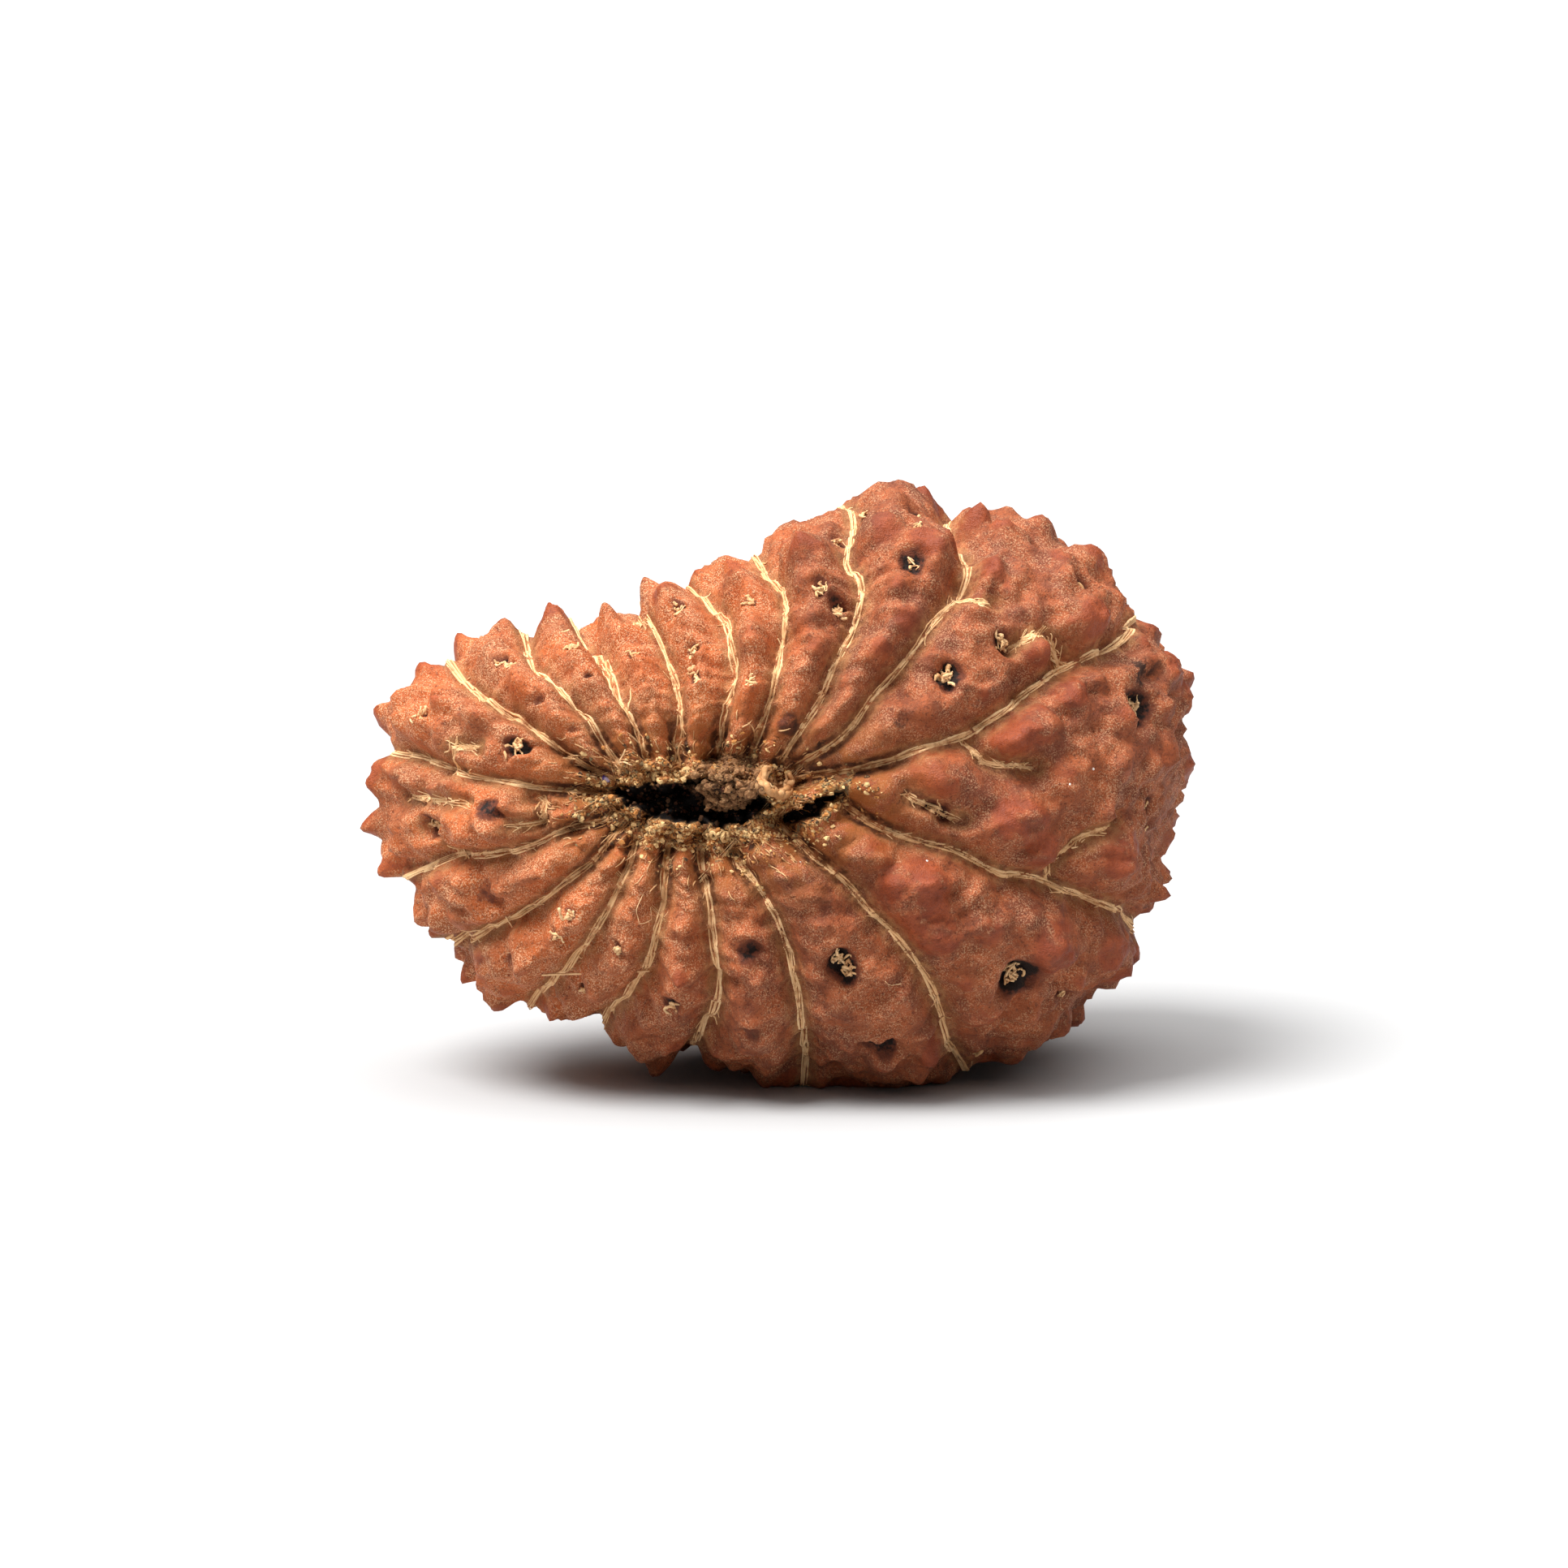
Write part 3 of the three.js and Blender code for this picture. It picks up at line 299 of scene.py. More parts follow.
# Pits on the front: x, z, width, depth in mm, and how many dry fibres stick out.
FACE_PITS = [
    (-7.35, 5.2, 0.28, 0.5, 3), (-7.0, 5.1, 0.25, 0.4, 3), (-5.15, 6.35, 0.3, 0.5, 3),
    (-4.75, 5.75, 0.25, 0.3, 4), (-4.05, 4.7, 0.22, 0.5, 0), (-6.1, 3.95, 0.28, 0.35, 0),
    (-10.15, 3.05, 0.25, 0.4, 5), (-8.8, 3.2, 0.2, 0.3, 0), (-7.05, 2.1, 0.45, 0.7, 5),
    (-2.75, 6.2, 0.2, 0.2, 4), (-2.45, 5.4, 0.22, 0.4, 2), (-0.85, 6.85, 0.3, 0.45, 4),
    (-0.45, 5.6, 0.25, 0.4, 4), (-0.6, 5.1, 0.22, 0.35, 3), (-0.35, 4.55, 0.28, 0.4, 3),
    (1.6, 7.05, 0.25, 0.35, 4), (1.75, 4.35, 0.22, 0.3, 4), (-4.8, 2.75, 0.35, 0.25, 0),
    (-7.65, -0.3, 0.38, 0.5, 0), (-10.15, -1.1, 0.45, 0.5, 4), (-7.9, -3.55, 0.55, 0.35, 0),
    (-4.75, -4.2, 0.28, 0.35, 3), (4.45, 7.8, 0.33, 0.5, 5), (4.95, 7.35, 0.33, 0.55, 5),
    (7.45, 8.4, 0.42, 0.6, 2), (7.75, 10.3, 0.4, 0.5, 7), (5.85, 10.6, 0.25, 0.25, 4),
    (7.7, 9.65, 0.2, 0.2, 4), (9.0, 4.55, 0.48, 0.85, 7), (11.0, 5.8, 0.38, 0.5, 6),
    (13.7, 7.8, 0.38, 0.6, 6), (3.1, 2.75, 0.4, 0.35, 0), (15.8, 3.35, 0.6, 0.9, 9),
    (8.2, -0.2, 0.3, 0.5, 0), (8.7, -0.45, 0.3, 0.5, 0), (4.75, 10.05, 0.3, 0.4, 3),
    (7.25, 2.95, 0.25, 0.2, 0), (5.0, -5.95, 0.5, 0.8, 5), (5.25, -6.3, 0.45, 0.7, 4),
    (11.4, -6.4, 0.7, 0.9, 8), (6.0, -8.8, 0.4, 0.6, 0), (6.6, -8.85, 0.4, 0.6, 0),
    (12.95, -6.9, 0.33, 0.5, 4), (16.1, -0.2, 0.35, 0.5, 3), (16.1, -1.0, 0.35, 0.5, 2),
    (10.1, -9.3, 0.4, 0.4, 5), (1.6, -9.0, 0.38, 0.5, 3), (-5.25, -4.95, 0.25, 0.3, 3),
    (-2.9, -5.35, 0.27, 0.35, 3), (-6.85, -5.85, 0.4, 0.35, 0), (-7.9, -6.2, 0.3, 0.4, 0),
    (-4.1, -7.0, 0.33, 0.45, 3), (-1.05, -7.5, 0.42, 0.5, 4), (1.7, -5.55, 0.45, 0.5, 0),
    (1.75, -8.05, 0.38, 0.4, 0),
]

# The torn opening and the hole beside it, as chains of round spots: x, z, radius in mm.
SLIT = [
    (-3.6, 0.3, 0.1), (-2.8, 0.15, 0.42), (-1.7, 0.0, 0.78), (-0.5, -0.1, 0.92), (0.8, -0.15, 0.92),
    (1.8, -0.15, 0.6), (2.4, -0.2, 0.25),
]
SIDE_HOLE = [(3.3, -0.7, 0.3), (3.9, -0.5, 0.38), (4.5, 0.0, 0.24), (5.3, 0.25, 0.12)]

# The dry pith that half fills the slit, and the curled lip next to it: x, z, radius in mm.
PLUG = (0.95, 0.75, 1.0)
CURL = (2.8, 0.75, 0.5)

# Rolls of the curled lip: where they start and how far they go round, in degrees; and each one's
# lift in mm, share of the lip's radius and thickness in mm.
CURL_START_DEG, CURL_TURN_DEG = 115, 275
CURL_ROLLS = [(0.3, 1.05, 0.13), (0.12, 1.2, 0.12), (0.2, 0.8, 0.08), (0.08, 0.45, 0.08)]

# Stray hairs on the front: radius, then x, z at points along each, in mm; and the step along one,
# its lift and its most tone.
HAIR_STEP, HAIR_LIFT, HAIR_TONE = 0.08, 0.04, 0.2
HAIRS = [
    (0.012, [(-2.1, -3.5), (-2.3, -4.0), (-2.2, -4.5), (-1.9, -4.6), (-1.95, -4.2)]),
    (0.035, [(-2.85, 2.05), (-3.02, 1.85), (-3.12, 1.6), (-2.9, 1.55), (-2.6, 1.4)]),
    (0.012, [(6.6, -6.4), (6.9, -6.7), (7.2, -6.6)]),
]

# Cream grains in lines beside the slit: x, z in mm; and open pores with a pale rim: x, z, radius.
CREAM_BANDS = [
    [(0.0, -1.3), (0.4, -1.25), (1.0, -1.2), (1.55, -1.25), (2.15, -1.0), (2.75, -0.75)],
    [(-1.35, -1.8), (-0.75, -1.9), (0.1, -1.9), (0.7, -2.05), (1.15, -2.35), (1.7, -3.0), (2.15, -3.35)],
    [(2.15, -1.5), (2.5, -1.3), (2.95, -1.45), (3.25, -1.7)],
    [(-3.3, 0.75), (-2.7, 0.95), (-2.0, 1.1), (-1.2, 1.1)],
]
PORES = [(0.12, -1.42, 0.1), (0.43, -1.38, 0.13), (0.83, -1.42, 0.15), (1.1, -1.55, 0.09)]

# Crust: how many places are tried for grains, how far from the torn edge they thin out in mm,
# and how many short fibres lie among them; and how many crumbs of pith are on and in the slit.
CRUST_TRIES = 16000
CRUST_SPREAD = 1.0
CRUST_FIBRES = 700
PITH_CRUMBS = 700

# Crust grains: the area in x and z in mm that they are tried in, how much farther off the side
# hole counts, the lump heights between which a clump begins, the share of tries kept between
# clumps and inside the holes, the least size and what chance adds. Cream grains: their step
# along a line, stray and size.
CRUST_X, CRUST_Z = (-5.5, 6.5), (-3.6, 3.4)
CRUST_HOLE_FARTHER, CRUST_CLUMPS = 0.75, (-0.4, 0.7)
CRUST_BETWEEN, CRUST_INSIDE = 0.12, 0.2
GRAIN_SIZE, GRAIN_EXTRA = 0.022, 0.09
CREAM_STEP, CREAM_STRAY, CREAM_SIZE = 0.04, 0.1, (0.035, 0.085)

# Crumbs of pith on the slit's edge: the heap's reach in x and z as shares of the plug, its height.
# Crumbs down in the slit: the reach in x as a share of the plug, the middle and reach in z in mm,
# and how deep they lie in the middle and how much deeper at the heap's edge. Then the sizes.
EDGE_HEAP, EDGE_HEAP_HEIGHT = (1.4, 1.1), 0.3
PACKED_X, PACKED_MIDDLE_Z, PACKED_Z = 1.05, 0.25, 0.62
PACKED_DEPTH, PACKED_FALL = (0.5, 0.9), 0.8
EDGE_CRUMB, EDGE_CRUMB_EXTRA, PACKED_CRUMB, PACKED_CRUMB_EXTRA = 0.035, 0.13, 0.04, 0.12

# Short fibres in the crust: the area in x and z that they are drawn in, how near to the slit they
# lie any way, how far they turn there and farther out in radians, and their length and radius.
FIBRE_X, FIBRE_Z, ANY_WAY_NEAR = (-6, 7), (-4, 4), 0.9
TURN_NEAR, TURN_FAR = 2.2, 0.5
FIBRE_LENGTH, FIBRE_RADIUS = (0.15, 0.5), (0.014, 0.032)

# How far brown stain reaches from the slit along the veins, in mm; and darker stains on the
# front: x, z, radius in mm.
STAIN_REACH = 2.4
DARK_STAINS = [
    (-3.95, -0.4, 0.28), (-2.65, -0.9, 0.15), (3.15, 2.75, 0.38), (7.25, 2.95, 0.3), (1.0, 2.35, 0.4),
    (1.75, -1.7, 0.25), (4.85, 0.25, 0.45), (4.4, 2.2, 0.2), (15.9, 4.6, 0.5), (-0.6, 2.2, 0.2),
]

# Specks on the front: x, z, radius in mm.
PALE_SPECKS = [
    (13.85, 1.1, 0.07), (12.9, 0.55, 0.05), (3.6, -2.3, 0.05), (-1.2, 3.9, 0.04), (8.1, -2.2, 0.05),
]
VIOLET_GRAIN = (-3.92, 0.88, 0.24)

# Turns over the seed, in radians, between which the rim begins and ends, and between which the
# outline's steps come up under the skin and fade again. Then how near to the outline, as a share
# of it, the front's places may lie, and distances in mm that stand for anything farther off.
RIM_BEGINS = np.radians((55, 85))
RIM_ENDS = np.radians((95, 115))
STEPS_BEGIN = np.radians((50, 80))
STEPS_END = np.radians((140, 105))
NEAREST_OUTLINE = 0.9995
FAR_OFF = 9.0
BEHIND = 50.0

# Worked out from the above, and the turns over which an even outline is averaged.
FULL_TURN = 2 * math.pi
FAR_END = math.radians(FAR_END_DEG)
OUTLINE_ANGLES = np.radians([angle for angle, _ in OUTLINE])
OUTLINE_RADII = np.array([radius for _, radius in OUTLINE])
EVEN_TURNS = np.radians((-12, -6, 0, 6, 12))

# Small turns in radians: the nearest to either end that a direction is taken at, and the steps
# that directions and moves are worked out with.
LEAST_TURN = 2e-3
NORMAL_STEP = 1e-4
MOVE_STEP = 1e-3


def make_draw(seed):
    """A source of repeatable numbers between two limits."""
    state = seed

    def draw(low=0.0, high=1.0):
        nonlocal state
        state = state * 48271 % 2147483647
        return low + (high - low) * state / 2147483647

    return draw


def smooth_step(low, high, x):
    t = np.clip((x - low) / (high - low), 0, 1)
    return t * t * (3 - 2 * t)


def bell(x):
    return np.exp(-(x**2))


def unit(vectors):
    return vectors / np.linalg.norm(vectors, axis=-1, keepdims=True)


def either_way(draw):
    return 1 if draw() < 0.5 else -1


def any_way(draw):
    return np.array([draw(-1, 1), draw(-1, 1), draw(-1, 1)])


def through(p0, p1, p2, p3, t):
    """A smooth curve from p1 to p2 that goes on to p0 and p3."""
    bend = 2 * p0 - 5 * p1 + 4 * p2 - p3
    twist = p3 + 3 * p1 - p0 - 3 * p2
    return 0.5 * (2 * p1 + (p2 - p0) * t + bend * t**2 + twist * t**3)


def curve(points, step):
    """Points at about one step from each other on a smooth line through a given list."""
    p = np.array(points, float)
    p = np.vstack([2 * p[0] - p[1], p, 2 * p[-1] - p[-2]])
    runs = []
    for i in range(1, len(p) - 2):
        count = max(2, int(np.linalg.norm(p[i + 1] - p[i]) / step))
        t = np.arange(count)[:, None] / count
        runs.append(through(p[i - 1], p[i], p[i + 1], p[i + 2], t))
    return np.vstack([*runs, p[-2:-1]])


def outline_radius(theta):
    theta = np.mod(theta, FULL_TURN)
    n = len(OUTLINE_ANGLES)
    i = np.searchsorted(OUTLINE_ANGLES, theta, side="right") - 1
    start = OUTLINE_ANGLES[i]
    end = np.where(i + 1 < n, OUTLINE_ANGLES[(i + 1) % n], FULL_TURN)
    r = OUTLINE_RADII
    return through(r[i - 1], r[i], r[(i + 1) % n], r[(i + 2) % n], (theta - start) / (end - start))


def smooth_seed(theta, v, radius=None):
    """The seed without its relief. theta goes round the slit, and v over the seed from the slit."""
    radius = outline_radius(theta) if radius is None else radius
    reach = radius * np.abs(np.sin(v)) ** (2 / FULLNESS)
    c = np.cos(v)
    along = np.sign(c) * np.abs(c) ** (2 / FULLNESS)
    back_depth = BACK_DEPTH * (1 + BACK_SLOPE * reach * np.cos(theta))
    y = -np.where(along > 0, FRONT_DEPTH, back_depth) * along
    lean = smooth_step(0, 1, -along)
    x = reach * np.cos(theta) + BACK_SHIFT_X * lean
    z = reach * np.sin(theta) + BACK_SHIFT_Z * lean
    return np.stack([x, y, z], -1)


def even_radius(theta):
    return sum(outline_radius(theta + turn) for turn in EVEN_TURNS) / len(EVEN_TURNS)


def even_seed(theta, v):
    """The smooth seed with a rim that has no steps."""
    return smooth_seed(theta, v, even_radius(theta))


def skin_base(theta, v):
    """The smooth seed under the skin: its rim's steps fade out over the front and the back."""
    even = even_radius(theta)
    share = smooth_step(*STEPS_BEGIN, v) * smooth_step(*STEPS_END, v)
    return smooth_seed(theta, v, even + (outline_radius(theta) - even) * share)


def slopes(base, theta, v, step):
    """How a surface's point moves over a small step round the seed and over it, both ways."""
    around = base(theta + step, v) - base(theta - step, v)
    return around, base(theta, v + step) - base(theta, v - step)


def seed_normal(theta, turn, base=smooth_seed):
    """The direction away from the seed, which has none right at its two ends."""
    v = np.clip(turn, LEAST_TURN, math.pi - LEAST_TURN)
    around, over = slopes(base, theta, v, NORMAL_STEP)
    return unit(np.cross(over, around))


def face_place(x, z):
    """The angles (theta, v) of the front's point seen at (x, z)."""
    theta = np.arctan2(z, x)
    share = np.minimum(np.hypot(x, z) / outline_radius(theta), NEAREST_OUTLINE)
    return theta, np.arcsin(share ** (FULLNESS / 2))


def on_face(x, z):
    return smooth_seed(*face_place(np.array(x), np.array(z)))


def face_line(points, step):
    """The angles along a smooth line through given points on the front."""
    return face_place(*curve(points, step).T)


def make_veins():
    """Each vein: its front run, and the bend and phase that take it over the rim to the far end."""
    draw = make_draw(SEED)
    made = []
    for points in VEINS:
        theta, v = face_line(points, VEIN_STEP)
        theta = np.unwrap(theta)
        bend = (theta[-1] - theta[-4]) / max(v[-1] - v[-4], 0.05)
        bend = float(np.clip(bend, -STEEPEST_BEND, STEEPEST_BEND))
        made.append({"theta": theta, "v": v, "bend": bend, "phase": draw(0, FULL_TURN)})
    return made


def far_theta(vein, v):
    """The angle round the seed of a vein's far run."""
    run = v - vein["v"][-1]
    wander = math.radians(WANDER_DEG) * np.sin(WANDER_RATE * run + vein["phase"])
    fade = np.minimum(run / BEND_REACH, 1)
    return vein["theta"][-1] + vein["bend"] * run * np.exp(-run / BEND_REACH) + wander * fade


def vein_theta(vein, v):
    if v > vein["v"][-1]:
        return float(far_theta(vein, v))
    return float(np.interp(v, vein["v"], vein["theta"]))


def whole_run(vein):
    v = np.linspace(vein["v"][-1], FAR_END, FAR_STEPS)[1:]
    return np.concatenate([vein["theta"], far_theta(vein, v)]), np.concatenate([vein["v"], v])


def line_distance(p, line, reach):
    """How far each point is from a line on the smooth seed, up to the given reach."""
    points = smooth_seed(*line)
    steps = np.diff(points, axis=0)
    lengths = np.linalg.norm(steps, axis=1)
    best = np.full(len(p), FAR_OFF)
    for start, step, length in zip(points, steps, lengths):
        near = np.nonzero(((p - start) ** 2).sum(1) < (reach + length) ** 2)[0]
        offset = p[near] - start
        t = np.clip(offset @ step / length**2, 0, 1)
        best[near] = np.minimum(best[near], np.linalg.norm(offset - t[:, None] * step, axis=1))
    return best


def chain_distance(x, z, chain):
    """How far outside a chain of round spots a point of the front is."""
    best = np.full(np.shape(x), math.inf)
    for (ax, az, ar), (bx, bz, br) in zip(chain, chain[1:]):
        dx, dz = bx - ax, bz - az
        t = np.clip(((x - ax) * dx + (z - az) * dz) / (dx * dx + dz * dz), 0, 1)
        best = np.minimum(best, np.hypot(x - ax - t * dx, z - az - t * dz) - ar - t * (br - ar))
    return best


def make_waves(size):
    """Sine waves in drawn directions that add up to lumps of one size."""
    draw = make_draw(SEED + round(100 * size))
    waves = []
    for _ in range(WAVE_COUNT):
        up, turn = draw(-1, 1), draw(0, FULL_TURN)
        flat = math.sqrt(1 - up * up)
        k = FULL_TURN / (size * draw(*WAVE_LENGTHS))
        waves.append((k * flat * math.cos(turn), k * flat * math.sin(turn), k * up, draw(0, FULL_TURN)))
    return np.array(waves)


def lumps(p, size):
    waves = WAVES[size]
    return np.sin(p @ waves[:, :3].T + waves[:, 3]).sum(-1) * math.sqrt(2 / len(waves))


def bump_sum(p, bumps, sharpness):
    """Rounded bumps (centre, width, height) that melt into each other where they meet."""
    total = np.zeros(len(p))
    for centre, width, height in bumps:
        d = np.linalg.norm(p - centre, axis=1) / width
        near = d < BUMP_REACH
        total[near] += (height * np.exp(-(d[near] ** sharpness))) ** 3
    return np.cbrt(total)


VEIN_RUNS = make_veins()
WAVES = {size: make_waves(size) for size in LUMPS | SKIN_LUMPS}


def rim_knobs():
    draw = make_draw(SEED + 1)
    made = []
    for degrees, reach, width in RIM_KNOBS:
        theta = math.radians(degrees)
        v = math.radians(RIM_KNOB_TURN_DEG + draw(*RIM_KNOB_STRAY_DEG))
        height = max(reach - float(outline_radius(theta)), LEAST_RIM_KNOB)
        made.append((smooth_seed(theta, v), width, height))
    return made


def lobe_rows(rows, draw):
    """Angles in rows across each lobe, with how much room each place has there."""
    first, last, gap, spacing = rows
    places = []
    for i, left in enumerate(VEIN_RUNS):
        right = VEIN_RUNS[(i + 1) % len(VEIN_RUNS)]
        for k in range(int((last - first) / gap) + 1):
            row = math.radians(first + gap * (k + draw(-ROW_STRAY, ROW_STRAY)))
            start = vein_theta(left, row)
            width = (start - vein_theta(right, row)) % FULL_TURN
            span = width * float(outline_radius(start)) * math.sin(row) ** (2 / FULLNESS)
            count = max(1, math.floor(span / spacing + 0.5))
            for j in range(count):
                theta = start - width * (j + 0.5 + draw(-PLACE_STRAY, PLACE_STRAY)) / count
                v = row + math.radians(draw(-TURN_STRAY_DEG, TURN_STRAY_DEG))
                places.append((theta, v, min(1, span / count / spacing)))
    return places


def clear_of(place, others, gap):
    return all(math.dist(place, centre) > gap + width for centre, width, _ in others)


def face_pits():
    return [(on_face(x, z), PIT_SPREAD * width, depth) for x, z, width, depth, _ in FACE_PITS]


def listed_knobs():
    knobs = rim_knobs()
    for x, z, width, height in FACE_KNOBS:
        knobs.append((on_face(x, z), width, FACE_KNOB_RISE * height))
    for degrees, turn, width, height in UNDER_KNOBS:
        knobs.append((smooth_seed(math.radians(degrees), math.radians(turn)), width, height))
    return knobs


def front_row_knobs(knobs, pits):
    """Small knobs on the front, where the listed knobs and pits leave room."""
    draw = make_draw(SEED + 2)
    added = []
    for theta, v, room in lobe_rows(FRONT_ROWS, draw):
        place = smooth_seed(theta, v)
        width, height = draw(*FRONT_KNOB[0]), draw(*FRONT_KNOB[1]) * room
        if clear_of(place, pits, CLEAR_OF_PITS) and clear_of(place, knobs + added, CLEAR_OF_KNOBS):
            added.append((place, width, height))
    return added


def far_row_bumps():
    """Knobs and pits all over the far side, and where its pits are."""
    draw = make_draw(SEED + 3)
    knobs, pits, angles = [], [], []
    for theta, v, room in lobe_rows(FAR_ROWS, draw):
        place = smooth_seed(theta, v)
        pick = draw()
        widths, heights = FAR_PIT if pick < FAR_PIT_SHARE else FAR_KNOB
        width, height = draw(*widths), draw(*heights)
        if pick < FAR_PIT_SHARE:
            pits.append((place, width, height))
            angles.append((theta, v, width))
        elif pick < FAR_PIT_SHARE + FAR_KNOB_SHARE:
            knobs.append((place, width, height * room))
    return knobs, pits, angles


FAR_KNOBS, FAR_PITS, FAR_PIT_ANGLES = far_row_bumps()
PITS = face_pits() + FAR_PITS
KNOBS = listed_knobs() + front_row_knobs(listed_knobs(), face_pits()) + FAR_KNOBS
LIPS = [(place, LIP_SPREAD * width, LIP_HEIGHT) for place, width, _ in PITS]


def rim_and_behind(v):
    """How much a place counts as rim, and as far side."""
    behind = smooth_step(*RIM_ENDS, v)
    return smooth_step(*RIM_BEGINS, v) * (1 - behind), behind


def lobe_height(p, v, slit):
    """Lobes between valleys with a thin raised vein in each, and how far off the nearest vein is."""
    level, strand, twig = np.ones(len(p)), np.full(len(p), FAR_OFF), np.full(len(p), FAR_OFF)
    for vein in VEIN_RUNS:
        d = line_distance(p, whole_run(vein), VEIN_REACH)
        level *= 1 - VALLEY_FILL * bell(d / VALLEY_WIDTH)
        strand = np.minimum(strand, d)
    for points in BRANCHES:
        twig = np.minimum(twig, line_distance(p, face_line(points, TWIG_STEP), TWIG_REACH))
    rim, behind = rim_and_behind(v)
    near_slit = bell(np.maximum(slit, 0) / SLIT_SURROUNDINGS)
    extra = VALLEY_AT_RIM * rim + VALLEY_BEHIND * behind + VALLEY_AT_SLIT * near_slit
    raised = STRAND_HEIGHT * bell(np.minimum(strand, twig) / STRAND_WIDTH)
    height = raised - (1 - level) * (VALLEY_DEPTH + extra) - TWIG_DEPTH * bell(twig / TWIG_WIDTH)
    return height, np.minimum(strand, twig)


def slit_height(p, slit, hole):
    """The slit lies in a funnel and has a crusty edge, a plug of pith, a side hole and a curled lip."""
    x, z = p[:, 0], p[:, 2]
    plug = np.exp(-((np.hypot(x - PLUG[0], z - PLUG[1]) / PLUG[2]) ** 3))
    curl = bell((np.hypot(x - CURL[0], z - CURL[1]) - CURL[2]) / CURL_WIDTH)
    outside = np.maximum(slit, 0)
    crust = CRUST_HEIGHT + CRUST_ROUGHNESS * lumps(p, MEDIUM_LUMP)
    opening = smooth_step(*SLIT_WALL, slit) * (SLIT_DEPTH - PLUG_HEIGHT * plug)
    side_opening = smooth_step(*SIDE_HOLE_WALL, hole) * SIDE_HOLE_DEPTH
    deep = np.maximum(opening, side_opening)
    raised = crust * bell(outside / CRUST_WIDTH) + CURL_HEIGHT * curl
    return raised - FUNNEL_DEPTH * bell(outside / FUNNEL_WIDTH) - deep, deep, plug


def skin_height(p, v, strand, slit, plug):
    """The finer relief of the skin: trenches beside the veins, crowned lobes, lumps and crumbly pith."""
    rim, _ = rim_and_behind(v)
    outside = np.maximum(slit, 0)
    depth = TRENCH_DEPTH + TRENCH_AT_RIM * rim + TRENCH_AT_SLIT * bell(outside / TRENCH_SURROUNDINGS)
    trench = depth * np.exp(-((strand / TRENCH_WIDTH) ** TRENCH_SHARPNESS))
    crown = CROWN_LIFT - CROWN_HEIGHT * bell(strand / CROWN_WIDTH)
    fine = sum(height * lumps(p, size) for size, height in SKIN_LUMPS.items())
    crumbly_pith = CRUMBLY_PITH * plug * smooth_step(*PITH_EDGE, slit)
    crumbly = CRUMBLY_CRUST * bell(outside / CRUST_WIDTH) + crumbly_pith
    return crown - trench + fine + crumbly * lumps(p, SMALL_LUMP)


def relief(theta, v, skin=True):
    """Height in mm over the smooth seed, and what the finish needs to know about each point."""
    p = smooth_seed(theta, v)
    x, z = p[:, 0], p[:, 2]
    in_front = v < math.pi / 2
    slit = np.where(in_front, chain_distance(x, z, SLIT) + SLIT_RAGGEDNESS * lumps(p, MEDIUM_LUMP), BEHIND)
    hole = np.where(in_front, chain_distance(x, z, SIDE_HOLE), BEHIND)
    ragged_p = p
    if skin:
        slit += SKIN_SLIT_RAGGEDNESS * lumps(p, SMALL_LUMP)
        hole += SKIN_HOLE_RAGGEDNESS * lumps(p, SMALL_LUMP)
        ragged_p = p + PIT_RAGGEDNESS * lumps(p, MEDIUM_LUMP)[:, None]
    height, strand = lobe_height(p, v, slit)
    torn, deep, plug = slit_height(p, slit, hole)
    knob, pit = bump_sum(p, KNOBS, KNOB_SHARPNESS), bump_sum(ragged_p, PITS, PIT_SHARPNESS)
    height += knob + bump_sum(p, LIPS, LIP_SHARPNESS) - pit + np.where(in_front, torn, 0)
    height += sum(rise * lumps(p, size) for size, rise in LUMPS.items())
    height -= sum(depth * bell((math.pi - v) / turn) for depth, turn in SCAR)
    if skin:
        height += skin_height(p, v, strand, slit, plug)
    facts = {
        "strand": strand,
        "knob": np.clip(knob / FULL_KNOB, 0, PAST_FULL),
        # Pit depth, which the stone's finish turns into painted shade.
        "pit": np.clip(pit / FULL_PIT, 0, PAST_FULL),
        "slit": np.minimum(np.minimum(slit, hole + HOLE_FARTHER), FAR_OFF),
        # How deep the opening of the slit and the side hole is here, which the finishes turn into painted
        # shade.
        "deep": np.where(in_front, np.clip(deep / FULL_DEEP, 0, 1), 0),
        "plug": np.where(in_front, plug, 0),
        "dark": np.where(in_front, sum(bell(np.hypot(x - a, z - b) / r) for a, b, r in DARK_STAINS), 0),
        # Browner towards the thick end, partly painted shade, and sooner on the lower half as painted
        # shade.
        "thick_end_and_low_shade": smooth_step(*THICK_END, x + SHADED_SOONER_BELOW * (np.abs(z) - z)),
        "scar": bell((math.pi - v) / SCAR_SPREAD),
    }
    return height, facts


def stand(p):
    """From the seed's own axes to how it lies, with the slit's end turned up by the lean."""
    a = math.radians(LEAN_DEG)
    x, y, z = np.moveaxis(np.asarray(p, float), -1, 0)
    return np.stack([x, y * math.cos(a) + z * math.sin(a), z * math.cos(a) - y * math.sin(a)], -1)


def cube_ball(n):
    """Directions of an evenly divided cube blown up to a ball, with its four-sided faces."""
    u = np.tan(np.linspace(-1, 1, n + 1) * math.pi / 4)
    a, b = np.meshgrid(u, u, indexing="ij")
    one = np.ones_like(a)
    sides = [(a, -one, b), (-a, one, b), (one, a, b), (-one, -a, b), (a, b, one), (a, -b, -one)]
    i, j = np.meshgrid(np.arange(n), np.arange(n), indexing="ij")
    first = (i * (n + 1) + j).ravel()
    quad = np.stack([first, first + n + 1, first + n + 2, first + 1], -1)
    quads = np.concatenate([quad + k * (n + 1) ** 2 for k in range(6)])
    points = np.concatenate([np.stack(side, -1).reshape(-1, 3) for side in sides])
    points /= np.linalg.norm(points, axis=1, keepdims=True)
    _, keep, same = np.unique(np.round(points, 6), axis=0, return_index=True, return_inverse=True)
    return points[keep], same.reshape(-1)[quads]


